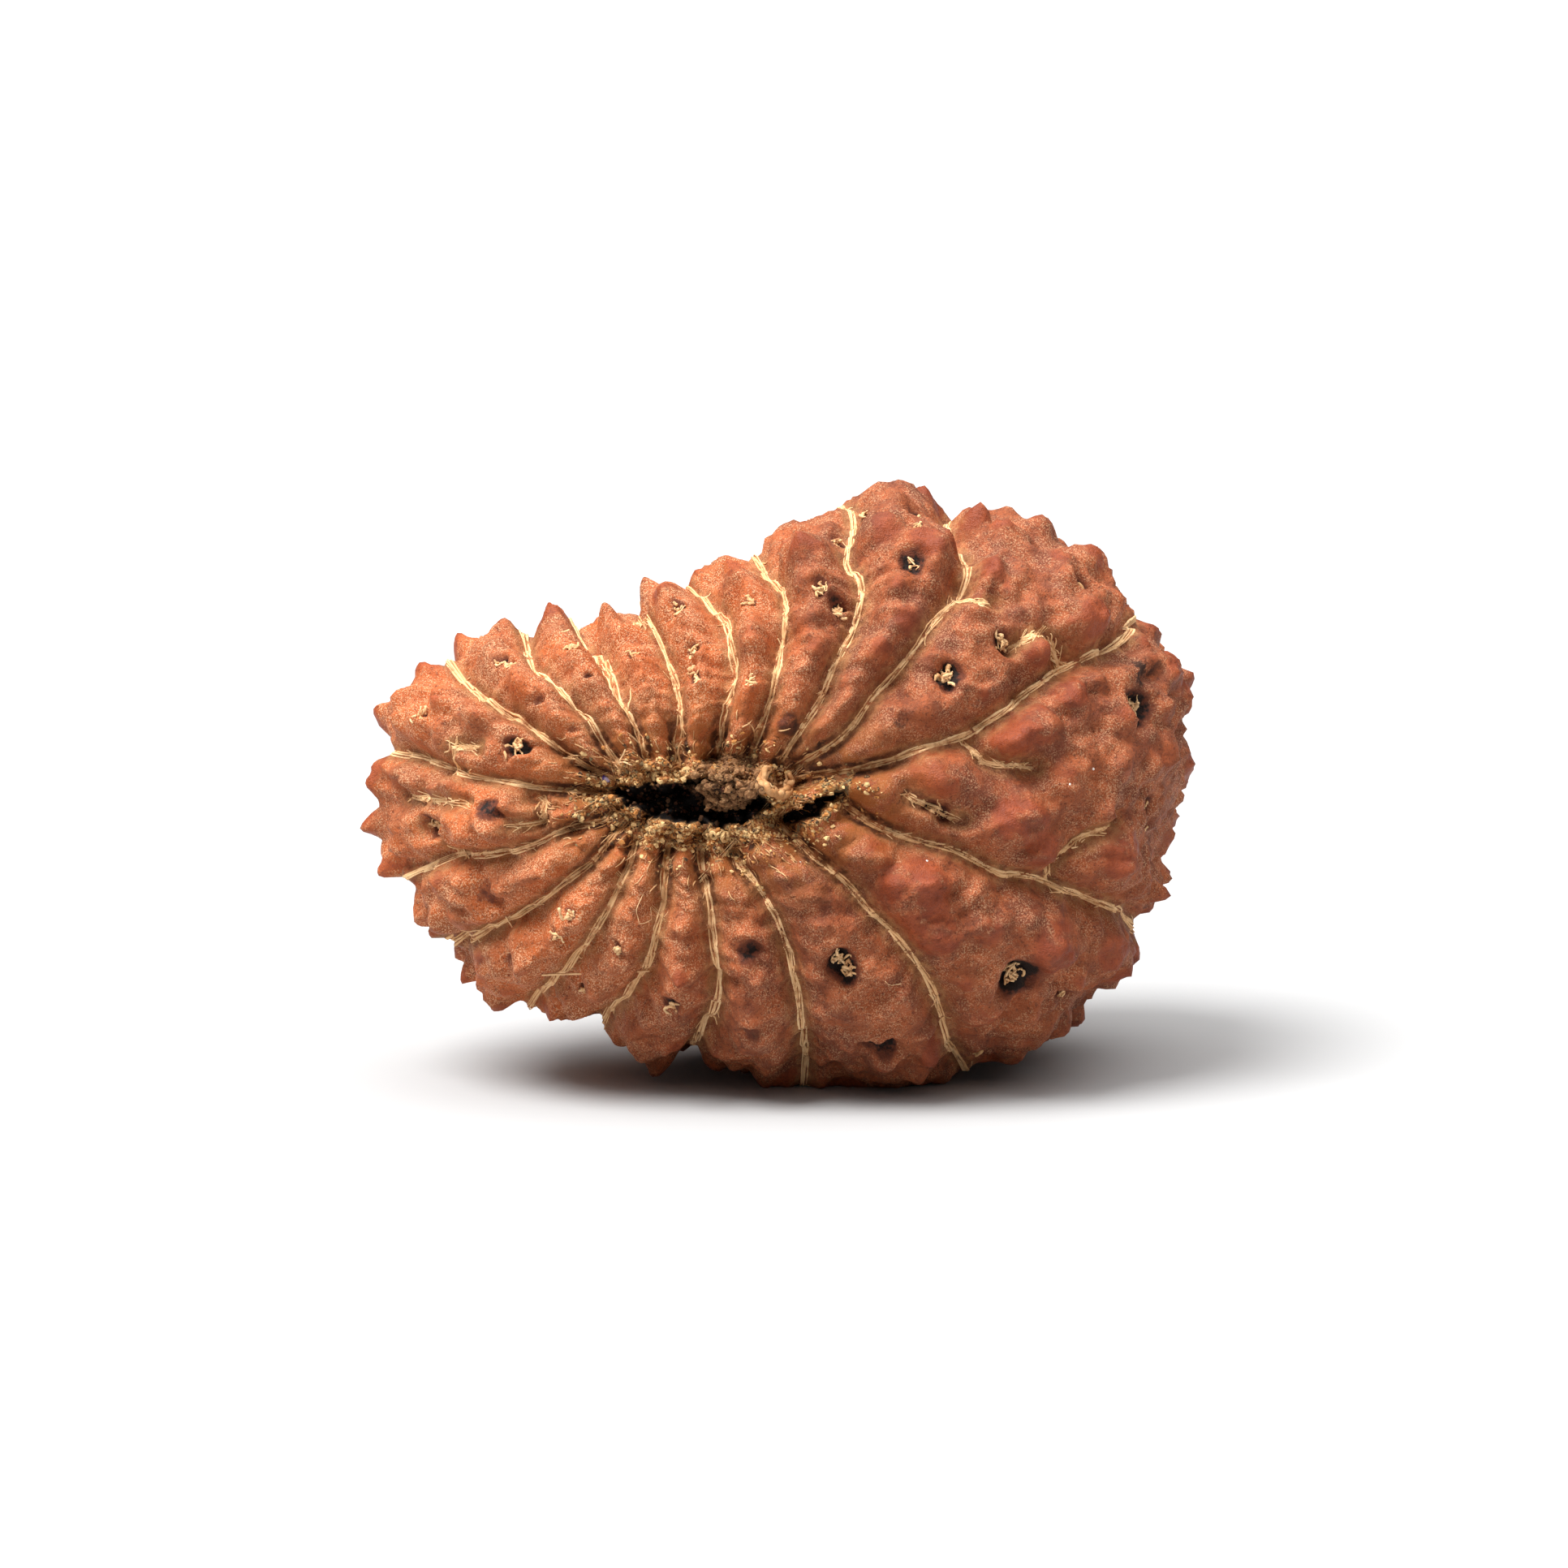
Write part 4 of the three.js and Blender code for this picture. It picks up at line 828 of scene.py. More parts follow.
def seed_grid(cells, front_finer, skin):
    """The seed's points as it lies, before it is set down, with its faces and facts."""
    directions, quads = cube_ball(cells)
    theta = np.arctan2(directions[:, 2], directions[:, 0])
    v = np.arccos(np.clip(-directions[:, 1], -1, 1))
    v -= front_finer * np.sin(v)
    height, facts = relief(theta, v, skin)
    base = skin_base(theta, v) if skin else smooth_seed(theta, v)
    out = seed_normal(theta, v, even_seed if skin else smooth_seed)
    return stand(base + out * height[:, None]), quads, facts


def find_shift():
    """How far the solid's source moved its own grid to stand it in the frame, in mm."""
    points, _, _ = seed_grid(CAD_CELLS, 0, False)
    low, high = points.min(0), points.max(0)
    return np.array([-(low[0] + high[0]) / 2, -(low[1] + high[1]) / 2, -(low[2] + FLAT_SPOT)])


SHIFT = find_shift()


def set_down(points):
    """Moves standing points into the frame and keeps them above the floor."""
    placed = points + SHIFT
    placed[:, 2] = np.maximum(placed[:, 2], 0)
    return placed


def on_surface(theta, v, lift=0.0):
    """Places on the skin in mm, the directions away from it, and the facts there."""
    theta, v = np.atleast_1d(theta), np.atleast_1d(v)
    height, facts = relief(theta, v)
    out = seed_normal(theta, v, even_seed)
    places = set_down(stand(skin_base(theta, v) + out * (height + lift)[:, None]))
    return places, stand(out), facts


def add_mesh(name, made, material, smooth=True):
    """A piece of the seed from points in mm, faces and facts, which are numbers at each point."""
    points, faces, facts = made
    mesh = bpy.data.meshes.new(name)
    above_floor = np.maximum(points, [-math.inf, -math.inf, 0])
    mesh.from_pydata((above_floor * MM).tolist(), [], faces)
    for fact, values in facts.items():
        mesh.attributes.new(fact, "FLOAT", "POINT").data.foreach_set("value", values.astype("f"))
    mesh.polygons.foreach_set("use_smooth", [smooth] * len(mesh.polygons))
    mesh.materials.append(material)
    piece = bpy.data.objects.new(name, mesh)
    bpy.context.collection.objects.link(piece)
    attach(piece, "root")
    return piece


def with_facts(points, faces, **facts):
    """A small mesh with its facts, each one number or one for each point."""
    return points, faces, {name: np.full(len(points), fact) for name, fact in facts.items()}


def gather(parts):
    """One list of points, faces and facts from many small meshes."""
    faces, first = [], 0
    for points, part_faces, _ in parts:
        faces += [[first + i for i in face] for face in part_faces]
        first += len(points)
    facts = {name: np.concatenate([part[2][name] for part in parts]) for name in parts[0][2]}
    return np.concatenate([points for points, _, _ in parts]), faces, facts


def moved(theta, v, offset):
    """The angles of the point a small offset in mm away along the smooth seed."""
    around, over = (run / (2 * MOVE_STEP) for run in slopes(smooth_seed, theta, v, MOVE_STEP))
    aa, ab, bb = (around**2).sum(-1), (around * over).sum(-1), (over**2).sum(-1)
    ao, bo = (around * offset).sum(-1), (over * offset).sum(-1)
    area = aa * bb - ab**2
    return theta + (bb * ao - ab * bo) / area, v + (aa * bo - ab * ao) / area


# The direction that a tube's first corner is turned to, and the sides of a thick and a thin one.
FIRST_SIDE = (0.37, 0.53, 0.76)
TUBE_SIDES = 6
FIBRE_SIDES = 5


def tube(path, radii, sides=FIBRE_SIDES):
    """Points and faces of a closed round tube along a path."""
    along = unit(np.gradient(path, axis=0))
    side = np.empty_like(path)
    guess = np.array(FIRST_SIDE)
    for i, direction in enumerate(along):
        guess = unit(guess - direction * (guess @ direction))
        side[i] = guess
    turn = np.arange(sides)[:, None] * FULL_TURN / sides
    ring = side[:, None] * np.cos(turn) + np.cross(along, side)[:, None] * np.sin(turn)
    points = (path[:, None] + ring * np.asarray(radii)[:, None, None]).reshape(-1, 3)
    faces = [list(range(sides))[::-1]]
    for i in range(len(path) - 1):
        for j in range(sides):
            a, b = i * sides + j, i * sides + (j + 1) % sides
            faces.append([a, b, b + sides, a + sides])
    faces.append(list(range((len(path) - 1) * sides, len(path) * sides)))
    return points, faces


def even_steps(theta, v, step):
    """The same line over the seed in even steps of about one length in mm."""
    lengths = np.linalg.norm(np.diff(smooth_seed(theta, v), axis=0), axis=1)
    run = np.concatenate([[0], np.cumsum(lengths)])
    marks = np.linspace(0, run[-1], max(4, int(run[-1] / step)))
    return np.interp(marks, run, theta), np.interp(marks, run, v), marks


def split_like(values, runs):
    return np.split(values, np.cumsum([len(run["theta"]) for run in runs])[:-1])


def lay(runs):
    """Thin fibres that lie on the seed, each along its own run of places with a lift and radii."""
    theta, v, lift = (np.concatenate([run[key] for run in runs]) for key in ("theta", "v", "lift"))
    places, _, facts = on_surface(theta, v, lift)
    stains = split_like(bell(np.maximum(facts["slit"], 0) / STAIN_REACH), runs)
    parts = []
    for run, path, stain in zip(runs, split_like(places, runs), stains):
        points, faces = tube(path, run["radii"])
        along = np.repeat(stain, FIBRE_SIDES)
        parts.append(with_facts(points, faces, tone=run["tone"], stain=along))
    return gather(parts)


def beside(theta, v, offset):
    """A line over the seed moved to one side by an offset in mm at each of its points."""
    points = smooth_seed(theta, v)
    sideways = unit(np.cross(seed_normal(theta, v), np.gradient(points, axis=0)))
    return moved(theta, v, sideways * offset[:, None])


def fibre(place, lift, radii, tone):
    return {"theta": place[0], "v": place[1], "lift": lift, "radii": radii, "tone": tone}


# One fibre of a cord, in mm: its sideways weave, its middle lift and how far it sinks and rises, the
# range of its radius and how much that swells, the wave lengths of weave and sinking, the swell's
# length for each radian, and how long and how thin its ends are.
WEAVE, WEAVE_LENGTHS = 0.03, (1.6, 3.6)
LIFT, SINK, SINK_LENGTHS = 0.004, 0.018, (1.1, 3.2)
RADIUS, SWELL, SWELL_LENGTHS = (0.03, 0.048), 0.3, (0.15, 0.5)
THIN_END, THIN_SHARE = 0.6, 0.3


def cord(theta, v, marks, count, spread, draw):
    """Fibres side by side along a line, which weave, sink in and come up again."""
    runs = []
    ends = np.minimum(marks, marks[-1] - marks)
    for k in range(count):
        rest = ((k + 0.5) / count - 0.5) * spread
        weave = WEAVE * np.sin(FULL_TURN * marks / draw(*WEAVE_LENGTHS) + draw(0, FULL_TURN))
        sunk = np.sin(FULL_TURN * marks / draw(*SINK_LENGTHS) + draw(0, FULL_TURN))
        radii = draw(*RADIUS) * (1 + SWELL * np.sin(marks / draw(*SWELL_LENGTHS)))
        radii *= THIN_SHARE + (1 - THIN_SHARE) * smooth_step(0, THIN_END, ends)
        runs.append(fibre(beside(theta, v, rest + weave), LIFT + SINK * sunk, radii, draw()))
    return runs


# One fray: its points, the ranges of its length and slant as shares of its reach, its curl, how far
# off the line it starts as a share of the spread, its lift and rise, its radius and its taper.
FRAY_POINTS = 8
FRAY_LENGTH, FRAY_SLANT, FRAY_CURL, FRAY_STRAY = (0.4, 1.0), (0.1, 0.7), 0.6, 0.4
FRAY_LIFT, FRAY_RISE = 0.015, 0.05
FRAY_RADIUS, FRAY_TAPER = (0.022, 0.042), 0.6


def frays(theta, v, count, spread, reach, draw):
    """Short loose fibres that leave a line at a slant."""
    runs = []
    for _ in range(count):
        i = int(draw(0, len(theta) - 3))
        along = smooth_seed(theta[i + 1], v[i + 1]) - smooth_seed(theta[i], v[i])
        along = unit(along) * either_way(draw)
        across = unit(np.cross(seed_normal(theta[i], v[i]), along)) * either_way(draw)
        t = np.linspace(0, 1, FRAY_POINTS)[:, None]
        length, slant = reach * draw(*FRAY_LENGTH), draw(*FRAY_SLANT)
        curl = draw(-FRAY_CURL, FRAY_CURL)
        offset = along * t + across * (slant * t + curl * t**2 * (1 - t))
        offset = offset * length + across * draw(-FRAY_STRAY, FRAY_STRAY) * spread
        lift = FRAY_LIFT + FRAY_RISE * draw() * t[:, 0] ** 2
        radii = draw(*FRAY_RADIUS) * (1 - FRAY_TAPER * t[:, 0] ** 2)
        runs.append(fibre(moved(theta[i], v[i], offset), lift, radii, draw()))
    return runs


# Veins and side veins: the step along one, the fibres in its cord and its width, and the count,
# spread and reach of its frays.
VEIN_CORD_STEP, VEIN_CORD, VEIN_FRAYS = 0.22, (4, 0.25), (18, 0.25, 0.6)
TWIG_CORD_STEP, TWIG_CORD, TWIG_FRAYS = 0.12, (3, 0.2), (48, 0.36, 0.34)


def vein_strands():
    """Each vein is a flat cord of thin fibres with a few frays, and each twig a frayed patch."""
    draw = make_draw(SEED + 10)
    runs = []
    for vein in VEIN_RUNS:
        line = even_steps(*whole_run(vein), VEIN_CORD_STEP)
        runs += cord(*line, *VEIN_CORD, draw)
        runs += frays(*line[:2], *VEIN_FRAYS, draw)
    for points in BRANCHES:
        line = even_steps(*face_line(points, TWIG_STEP), TWIG_CORD_STEP)
        runs += cord(*line, *TWIG_CORD, draw)
        runs += frays(*line[:2], *TWIG_FRAYS, draw)
    return lay(runs)


# One fibre of a tuft: its points, the ranges of its rise and reach as shares of its length, how far
# it sags, its curl and twist, its taper, how uneven its radius and its path are, and its most stain.
RIBBON_POINTS = 10
RIBBON_RISE, RIBBON_REACH, RIBBON_SAG = (0.3, 0.8), (0.3, 0.9), 0.4
RIBBON_CURL, RIBBON_TWIST = (-0.6, 0.6), (2.5, 5.0)
RIBBON_TAPER, RIBBON_UNEVEN = 0.35, 0.45
RIBBON_JITTER = 0.03
RIBBON_STAIN = 0.35

# Tufts: fibres for each one listed, what their count stays under in a far pit, where in the pit
# they start, their length as shares of its width and what is added, their radius and their lift.
TUFT_FACTOR, FAR_TUFT_LIMIT, TUFT_STRAY = 2, 6, (-0.6, 0.5)
TUFT_LENGTH, TUFT_EXTRA, TUFT_RADIUS, TUFT_LIFT = (0.5, 1.25), 0.12, (0.035, 0.07), 0.06


def ribbon(start, out, aside, length, radius, draw):
    """A short dry fibre that comes out of the seed and curls to one side."""
    t = np.linspace(0, 1, RIBBON_POINTS)[:, None]
    rise, reach = draw(*RIBBON_RISE), draw(*RIBBON_REACH)
    curl, twist = draw(*RIBBON_CURL), draw(*RIBBON_TWIST)
    across = np.cross(out, aside)
    shape = out * (rise * t - RIBBON_SAG * t**2) + aside * reach * t + across * curl * np.sin(twist * t)
    path = start + length * shape
    jitter = np.array([any_way(draw) for _ in t])
    radii = radius * (1 - RIBBON_TAPER * t[:, 0] ** 2) * (1 + RIBBON_UNEVEN * jitter[:, 0])
    rough_path = path + RIBBON_JITTER * length * jitter
    return with_facts(*tube(rough_path, radii), tone=draw(), stain=RIBBON_STAIN * draw())


def pit_fibres():
    """The dry fibres that stick out of the pits, in loose tufts."""
    draw = make_draw(SEED + 11)
    pits = []
    for x, z, width, _, count in FACE_PITS:
        pits.append((*face_place(x, z), width, count))
    for theta, v, width in FAR_PIT_ANGLES:
        pits.append((theta, v, width, math.floor(draw(0, FAR_TUFT_LIMIT))))
    theta, v, width, aside = [], [], [], []
    for pit_theta, pit_v, pit_width, count in pits:
        normal = seed_normal(np.float64(pit_theta), np.float64(pit_v))
        for _ in range(TUFT_FACTOR * count):
            around = unit(any_way(draw))
            side = unit(np.cross(normal, around))
            at_theta, at_v = moved(pit_theta, pit_v, side * pit_width * draw(*TUFT_STRAY))
            theta.append(at_theta)
            v.append(at_v)
            width.append(pit_width)
            aside.append(stand(side))
    starts, outs, _ = on_surface(np.array(theta), np.array(v), TUFT_LIFT)
    parts = []
    for start, out, side, pit_width in zip(starts, outs, aside, width):
        length = pit_width * draw(*TUFT_LENGTH) + TUFT_EXTRA
        parts.append(ribbon(start, out, side, length, draw(*TUFT_RADIUS), draw))
    return gather(parts)


def crumb(centre, size, draw, **facts):
    """A rough grain: a ball of twelve points pushed in and out."""
    points = np.array([corner * draw(0.6, 1.3) for corner in CRUMB_POINTS])
    stretch = np.array([draw(0.6, 1.5), draw(0.7, 1.2), draw(0.5, 1.0)])
    turn = Vector(any_way(draw)).to_track_quat("Z", "Y").to_matrix()
    points = (points * stretch * size) @ np.array(turn)
    return with_facts(centre + points, CRUMB_FACES, **facts)


def make_ball():
    """The corners and faces of an icosahedron of radius 1."""
    golden = (1 + math.sqrt(5)) / 2
    corners = []
    for a in (-1, 1):
        for b in (-golden, golden):
            corners += [(0, a, b), (a, b, 0), (b, 0, a)]
    corners = unit(np.array(corners))
    faces = []
    for i in range(12):
        for j in range(i + 1, 12):
            for k in range(j + 1, 12):
                sides = [corners[i] - corners[j], corners[j] - corners[k], corners[k] - corners[i]]
                if max(np.linalg.norm(side) for side in sides) < 1.1:
                    outward = np.linalg.det(corners[[i, j, k]]) > 0
                    faces.append([i, j, k] if outward else [i, k, j])
    return corners, faces


CRUMB_POINTS, CRUMB_FACES = make_ball()


def scatter_crust(draw):
    """Places and sizes of crust grains: clumped, thick at the torn edge and thin farther out."""
    spots = np.array([(draw(*CRUST_X), draw(*CRUST_Z)) for _ in range(CRUST_TRIES)])
    theta, v = face_place(*spots.T)
    slit = chain_distance(*spots.T, SLIT)
    hole = chain_distance(*spots.T, SIDE_HOLE)
    near = np.minimum(slit, hole + CRUST_HOLE_FARTHER)
    clumps = smooth_step(*CRUST_CLUMPS, lumps(smooth_seed(theta, v), MEDIUM_LUMP))
    wanted = bell(np.maximum(near - 0.1, 0) / CRUST_SPREAD)
    wanted *= CRUST_BETWEEN + (1 - CRUST_BETWEEN) * clumps
    wanted = np.where(np.minimum(slit, hole) < -0.05, CRUST_INSIDE, wanted)
    kept = []
    for (x, z), share in zip(spots, wanted):
        pick, size, tone = draw(), GRAIN_SIZE + GRAIN_EXTRA * draw() ** 2, draw()
        if pick < share:
            kept.append((x, z, size, tone))
    for points in CREAM_BANDS:
        for x, z in curve(points, CREAM_STEP):
            x += draw(-CREAM_STRAY, CREAM_STRAY)
            z += draw(-CREAM_STRAY, CREAM_STRAY)
            kept.append((x, z, draw(*CREAM_SIZE), draw(0, 0.5)))
    return kept


def crust_crumbs():
    """Grains of dried flesh round the slit and its side hole, with painted shade on those down inside."""
    draw = make_draw(SEED + 12)
    x, z, sizes, tones = np.array(scatter_crust(draw)).T
    centres, _, facts = on_surface(*face_place(x, z), 0.3 * sizes)
    parts = []
    for centre, size, tone, deep in zip(centres, sizes, tones, facts["deep"]):
        parts.append(crumb(centre, size, draw, tone=tone, deep=deep))
    for x, z, radius in PORES:
        parts.append(pore_ring(x, z, radius, draw))
    return gather(parts)


def pore_ring(x, z, radius, draw):
    """The pale rim of one open pore in the crust."""
    turn = np.linspace(0, 0.97 * FULL_TURN, 18)
    reach = radius * (1 + 0.15 * np.sin(2 * turn + draw(0, FULL_TURN)))
    path, _, _ = on_surface(*face_place(x + 0.8 * reach * np.cos(turn), z + reach * np.sin(turn)), 0.1)
    ring = tube(path, 0.5 * radius * (1 + 0.2 * np.sin(3 * turn)), TUBE_SIDES)
    return with_facts(*ring, tone=0.1, deep=0.0)


def pith_crumbs():
    """Bigger crumbs of dry pith, heaped on the slit's upper edge and packed across its right half."""
    draw = make_draw(SEED + 13)
    spots = []
    for _ in range(PITH_CRUMBS):
        turn, share = draw(0, FULL_TURN), math.sqrt(draw())
        x = PLUG[0] + EDGE_HEAP[0] * PLUG[2] * share * math.cos(turn)
        z = PLUG[1] + EDGE_HEAP[1] * PLUG[2] * share * math.sin(turn)
        lift = draw(0, EDGE_HEAP_HEIGHT) * (1 - share)
        spots.append((x, z, lift, EDGE_CRUMB + EDGE_CRUMB_EXTRA * draw() ** 2, 0))
    for _ in range(PITH_CRUMBS):
        turn, share = draw(0, FULL_TURN), math.sqrt(draw())
        edge = 1 + 0.12 * math.sin(3 * turn + 1) + 0.1 * math.sin(5 * turn)
        x = PLUG[0] + PACKED_X * edge * share * math.cos(turn)
        z = PACKED_MIDDLE_Z + PACKED_Z * edge * share * math.sin(turn)
        depth = draw(*PACKED_DEPTH) + PACKED_FALL * share**3
        reach = math.hypot(x - PLUG[0], z - PLUG[1]) / PLUG[2]
        bottom = SLIT_DEPTH - PLUG_HEIGHT * math.exp(-(reach**3))
        # Painted shade on the packed crumbs, on the whole more towards the packing's edge.
        packed_shade = 0.3 + 0.4 * share * draw()
        size = PACKED_CRUMB + PACKED_CRUMB_EXTRA * draw() ** 2
        spots.append((x, z, max(bottom - depth, 0), size, packed_shade))
    x, z, lift, sizes, packed_shade = np.array(spots).T
    centres, _, facts = on_surface(*face_place(x, z), lift)
    # Each crumb's painted shade: the packed ones' own, the heaped ones' from how deep the slit is under
    # them.
    deep = np.where(packed_shade > 0, packed_shade, facts["deep"])
    parts = []
    for centre, size, depth in zip(centres, sizes, deep):
        parts.append(crumb(centre, size, draw, tone=draw(), deep=depth))
    return gather(parts)


def curled_lip():
    """The torn skin at the right end of the slit, curled up into an open cup."""
    draw = make_draw(SEED + 14)
    x, z, radius = CURL
    t = np.linspace(0, 1, 40)
    parts = []
    for lift, share, size in CURL_ROLLS:
        turn = math.radians(CURL_START_DEG) + math.radians(CURL_TURN_DEG) * t
        wobble = 1 + 0.1 * np.sin(3.1 * turn + draw(0, FULL_TURN)) + 0.05 * np.sin(8.3 * turn)
        reach = radius * share * wobble
        theta, v = face_place(x + reach * np.cos(turn), z + reach * np.sin(turn))
        path, _, _ = on_surface(theta, v, lift + 0.07 * np.sin(5.3 * turn + draw(0, FULL_TURN)))
        uneven = 1 + 0.3 * np.sin(7.1 * turn + draw(0, FULL_TURN)) * np.sin(3.3 * turn)
        radii = size * uneven * (0.35 + 0.65 * np.sin(math.pi * t) ** 0.4)
        parts.append(with_facts(*tube(path, radii, TUBE_SIDES), tone=draw(), stain=0.7))
    return gather(parts)


def crust_fibres():
    """Short fibres that lie criss-cross in the crust and point away from the slit farther out."""
    draw = make_draw(SEED + 18)
    runs = []
    while len(runs) < CRUST_FIBRES:
        x, z = draw(*FIBRE_X), draw(*FIBRE_Z)
        near = float(chain_distance(x, z, SLIT))
        if near < 0.02 or draw() > bell((near - 0.3) / 1.3):
            continue
        turn = math.atan2(z, x) + draw(-1, 1) * (TURN_NEAR if near < ANY_WAY_NEAR else TURN_FAR)
        t = np.linspace(0, 1, 6)
        length, bend = draw(*FIBRE_LENGTH), draw(-0.15, 0.15)
        along = length * (t - 0.5)
        aside = length * bend * np.sin(math.pi * t)
        run_x = x + along * math.cos(turn) - aside * math.sin(turn)
        run_z = z + along * math.sin(turn) + aside * math.cos(turn)
        lift = 0.02 + draw(0, 0.07) * np.sin(math.pi * t)
        radii = draw(*FIBRE_RADIUS) * (1 - 0.5 * t**2)
        runs.append(fibre(face_place(run_x, run_z), lift, radii, draw()))
    return lay(runs)


def stray_hairs():
    """A few loose hairs caught on the front."""
    draw = make_draw(SEED + 15)
    parts = []
    for radius, points in HAIRS:
        path, _, _ = on_surface(*face_line(points, HAIR_STEP), HAIR_LIFT + radius)
        hair = tube(path, np.full(len(path), radius))
        parts.append(with_facts(*hair, tone=HAIR_TONE * draw(), stain=0.0))
    return gather(parts)


def specks(spots, seed):
    draw = make_draw(seed)
    x, z, sizes = np.array(spots).T
    centres, _, _ = on_surface(*face_place(x, z), 0.3 * sizes)
    return gather([crumb(centre, size, draw, tone=draw()) for centre, size in zip(centres, sizes)])


def colour(red, green, blue):
    """A picture colour, 0 to 255, as the linear colour that a shader takes."""
    shares = np.array([red, green, blue]) / 255
    linear = np.where(shares <= 0.04045, shares / 12.92, ((shares + 0.055) / 1.055) ** 2.4)
    return (*linear.tolist(), 1.0)


# Where the Mix node keeps its two colours and their result.
MIX_COLOUR_A = 6
MIX_COLOUR_B = 7
MIX_COLOUR_RESULT = 2


class Finish:
    """A material, with short ways to add the nodes that drive its colour, roughness and bump."""

    def __init__(self, name, roughness, specular):
        self.material = bpy.data.materials.new(name)
        self.material.use_nodes = True
        self.tree = self.material.node_tree
        self.shader = self.tree.nodes["Principled BSDF"]
        self.shader.inputs["Roughness"].default_value = roughness
        self.shader.inputs["Specular IOR Level"].default_value = specular
        self.place = self.tree.nodes.new("ShaderNodeTexCoord").outputs["Object"]

    def add(self, kind, inputs, **settings):
        """A new node with its settings, and each input given a value or linked."""
        node = self.tree.nodes.new(kind)
        for name, value in settings.items():
            setattr(node, name, value)
        for name, value in inputs.items():
            self.put(value, node.inputs[name])
        return node

    def drive(self, name, value):
        self.put(value, self.shader.inputs[name])

    def put(self, value, socket):
        if isinstance(value, bpy.types.NodeSocket):
            self.tree.links.new(value, socket)
        else:
            socket.default_value = value

    def noise(self, size_mm, detail, roughness=0.55):
        inputs = {"Vector": self.place, "Scale": 1 / (size_mm * MM), "Detail": detail}
        return self.add("ShaderNodeTexNoise", inputs | {"Roughness": roughness}).outputs["Fac"]

    def cells(self, size_mm):
        """The distance from the middle of the nearest of many small cells."""
        inputs = {"Vector": self.place, "Scale": 1 / (size_mm * MM)}
        return self.add("ShaderNodeTexVoronoi", inputs).outputs["Distance"]

    def fact(self, name):
        return self.add("ShaderNodeAttribute", {}, attribute_name=name).outputs["Fac"]

    def band(self, value, low, high, start=0.0, end=1.0):
        """A smooth change from start to end as the value goes from low to high."""
        inputs = {"Value": value, "From Min": low, "From Max": high, "To Min": start, "To Max": end}
        node = self.add("ShaderNodeMapRange", inputs, interpolation_type="SMOOTHSTEP")
        return node.outputs["Result"]

    def math(self, operation, a, b):
        return self.add("ShaderNodeMath", {0: a, 1: b}, operation=operation).outputs["Value"]

    def times(self, a, b):
        return self.math("MULTIPLY", a, b)

    def mix(self, share, a, b):
        inputs = {0: share, MIX_COLOUR_A: a, MIX_COLOUR_B: b}
        return self.add("ShaderNodeMix", inputs, data_type="RGBA").outputs[MIX_COLOUR_RESULT]

    def bump(self, height, depth_mm, below=None):
        inputs = {"Distance": depth_mm * MM, "Height": height}
        if below is not None:
            inputs["Normal"] = below
        return self.add("ShaderNodeBump", inputs).outputs["Normal"]


def shell_colour(f, knob, fleck):
    """Terracotta shell, browner at the thick end, partly its own colour and partly painted shade, and
    sooner on the lower half as painted shade; with worn knobs and pale flecks.
    """
    broad = f.noise(2.6, 4, 0.6)
    warm = f.mix(f.band(broad, 0.4, 0.62), colour(182, 90, 40), colour(152, 82, 46))
    brown = f.mix(f.band(broad, 0.38, 0.6), colour(148, 77, 43), colour(120, 61, 38))
    # The brown of the thick end and the lower half: partly the shell's colour, partly painted shade.
    shell = f.mix(f.band(f.fact("thick_end_and_low_shade"), 0.1, 0.9), warm, brown)
    shell = f.mix(f.band(f.noise(0.6, 3), 0.42, 0.66, 0, 0.5), shell, colour(184, 96, 54))
    shell = f.mix(f.band(f.noise(0.12, 3, 0.7), 0.5, 0.32, 0, 0.7), shell, colour(84, 38, 22))
    shell = f.mix(f.band(fleck, 0, 1, 0, 0.62), shell, colour(234, 184, 140))
    return f.mix(f.band(knob, 0, 1, 0, 0.5), shell, colour(146, 62, 32))


def stain_colour(f, shell):
    """Tan streaks along the veins, painted shade in the trenches at their sides, and brown stain near the
    slit.
    """
    strand = f.fact("strand")
    near_slit = f.band(f.fact("slit"), 4.2, 0.4)
    halo = f.times(f.band(strand, 0.6, 0.12), f.band(f.noise(0.35, 3), 0.35, 0.65, 0.1, 0.8))
    shell = f.mix(halo, shell, colour(186, 132, 84))
    blotch = f.band(f.noise(0.8, 4, 0.65), 0.4, 0.58)
    stained = f.times(near_slit, f.band(blotch, 0, 1, 0.15, 0.9))
    shell = f.mix(stained, shell, colour(152, 88, 38))
    # Painted shade down in the trenches beside the veins, patchy and stronger near the slit.
    trench_shade = f.times(f.band(strand, 0.4, 0.24), f.band(strand, 0.05, 0.16))
    trench_shade = f.times(trench_shade, f.band(f.noise(0.4, 3), 0.32, 0.58, 0.1, 1))
    trench_shade = f.times(trench_shade, f.band(near_slit, 0, 0.8, 0.35, 1))
    shell = f.mix(trench_shade, shell, colour(70, 36, 18))
    stain = f.band(f.times(f.fact("dark"), blotch), 0.1, 0.6, 0, 0.9)
    return f.mix(stain, shell, colour(44, 26, 18))


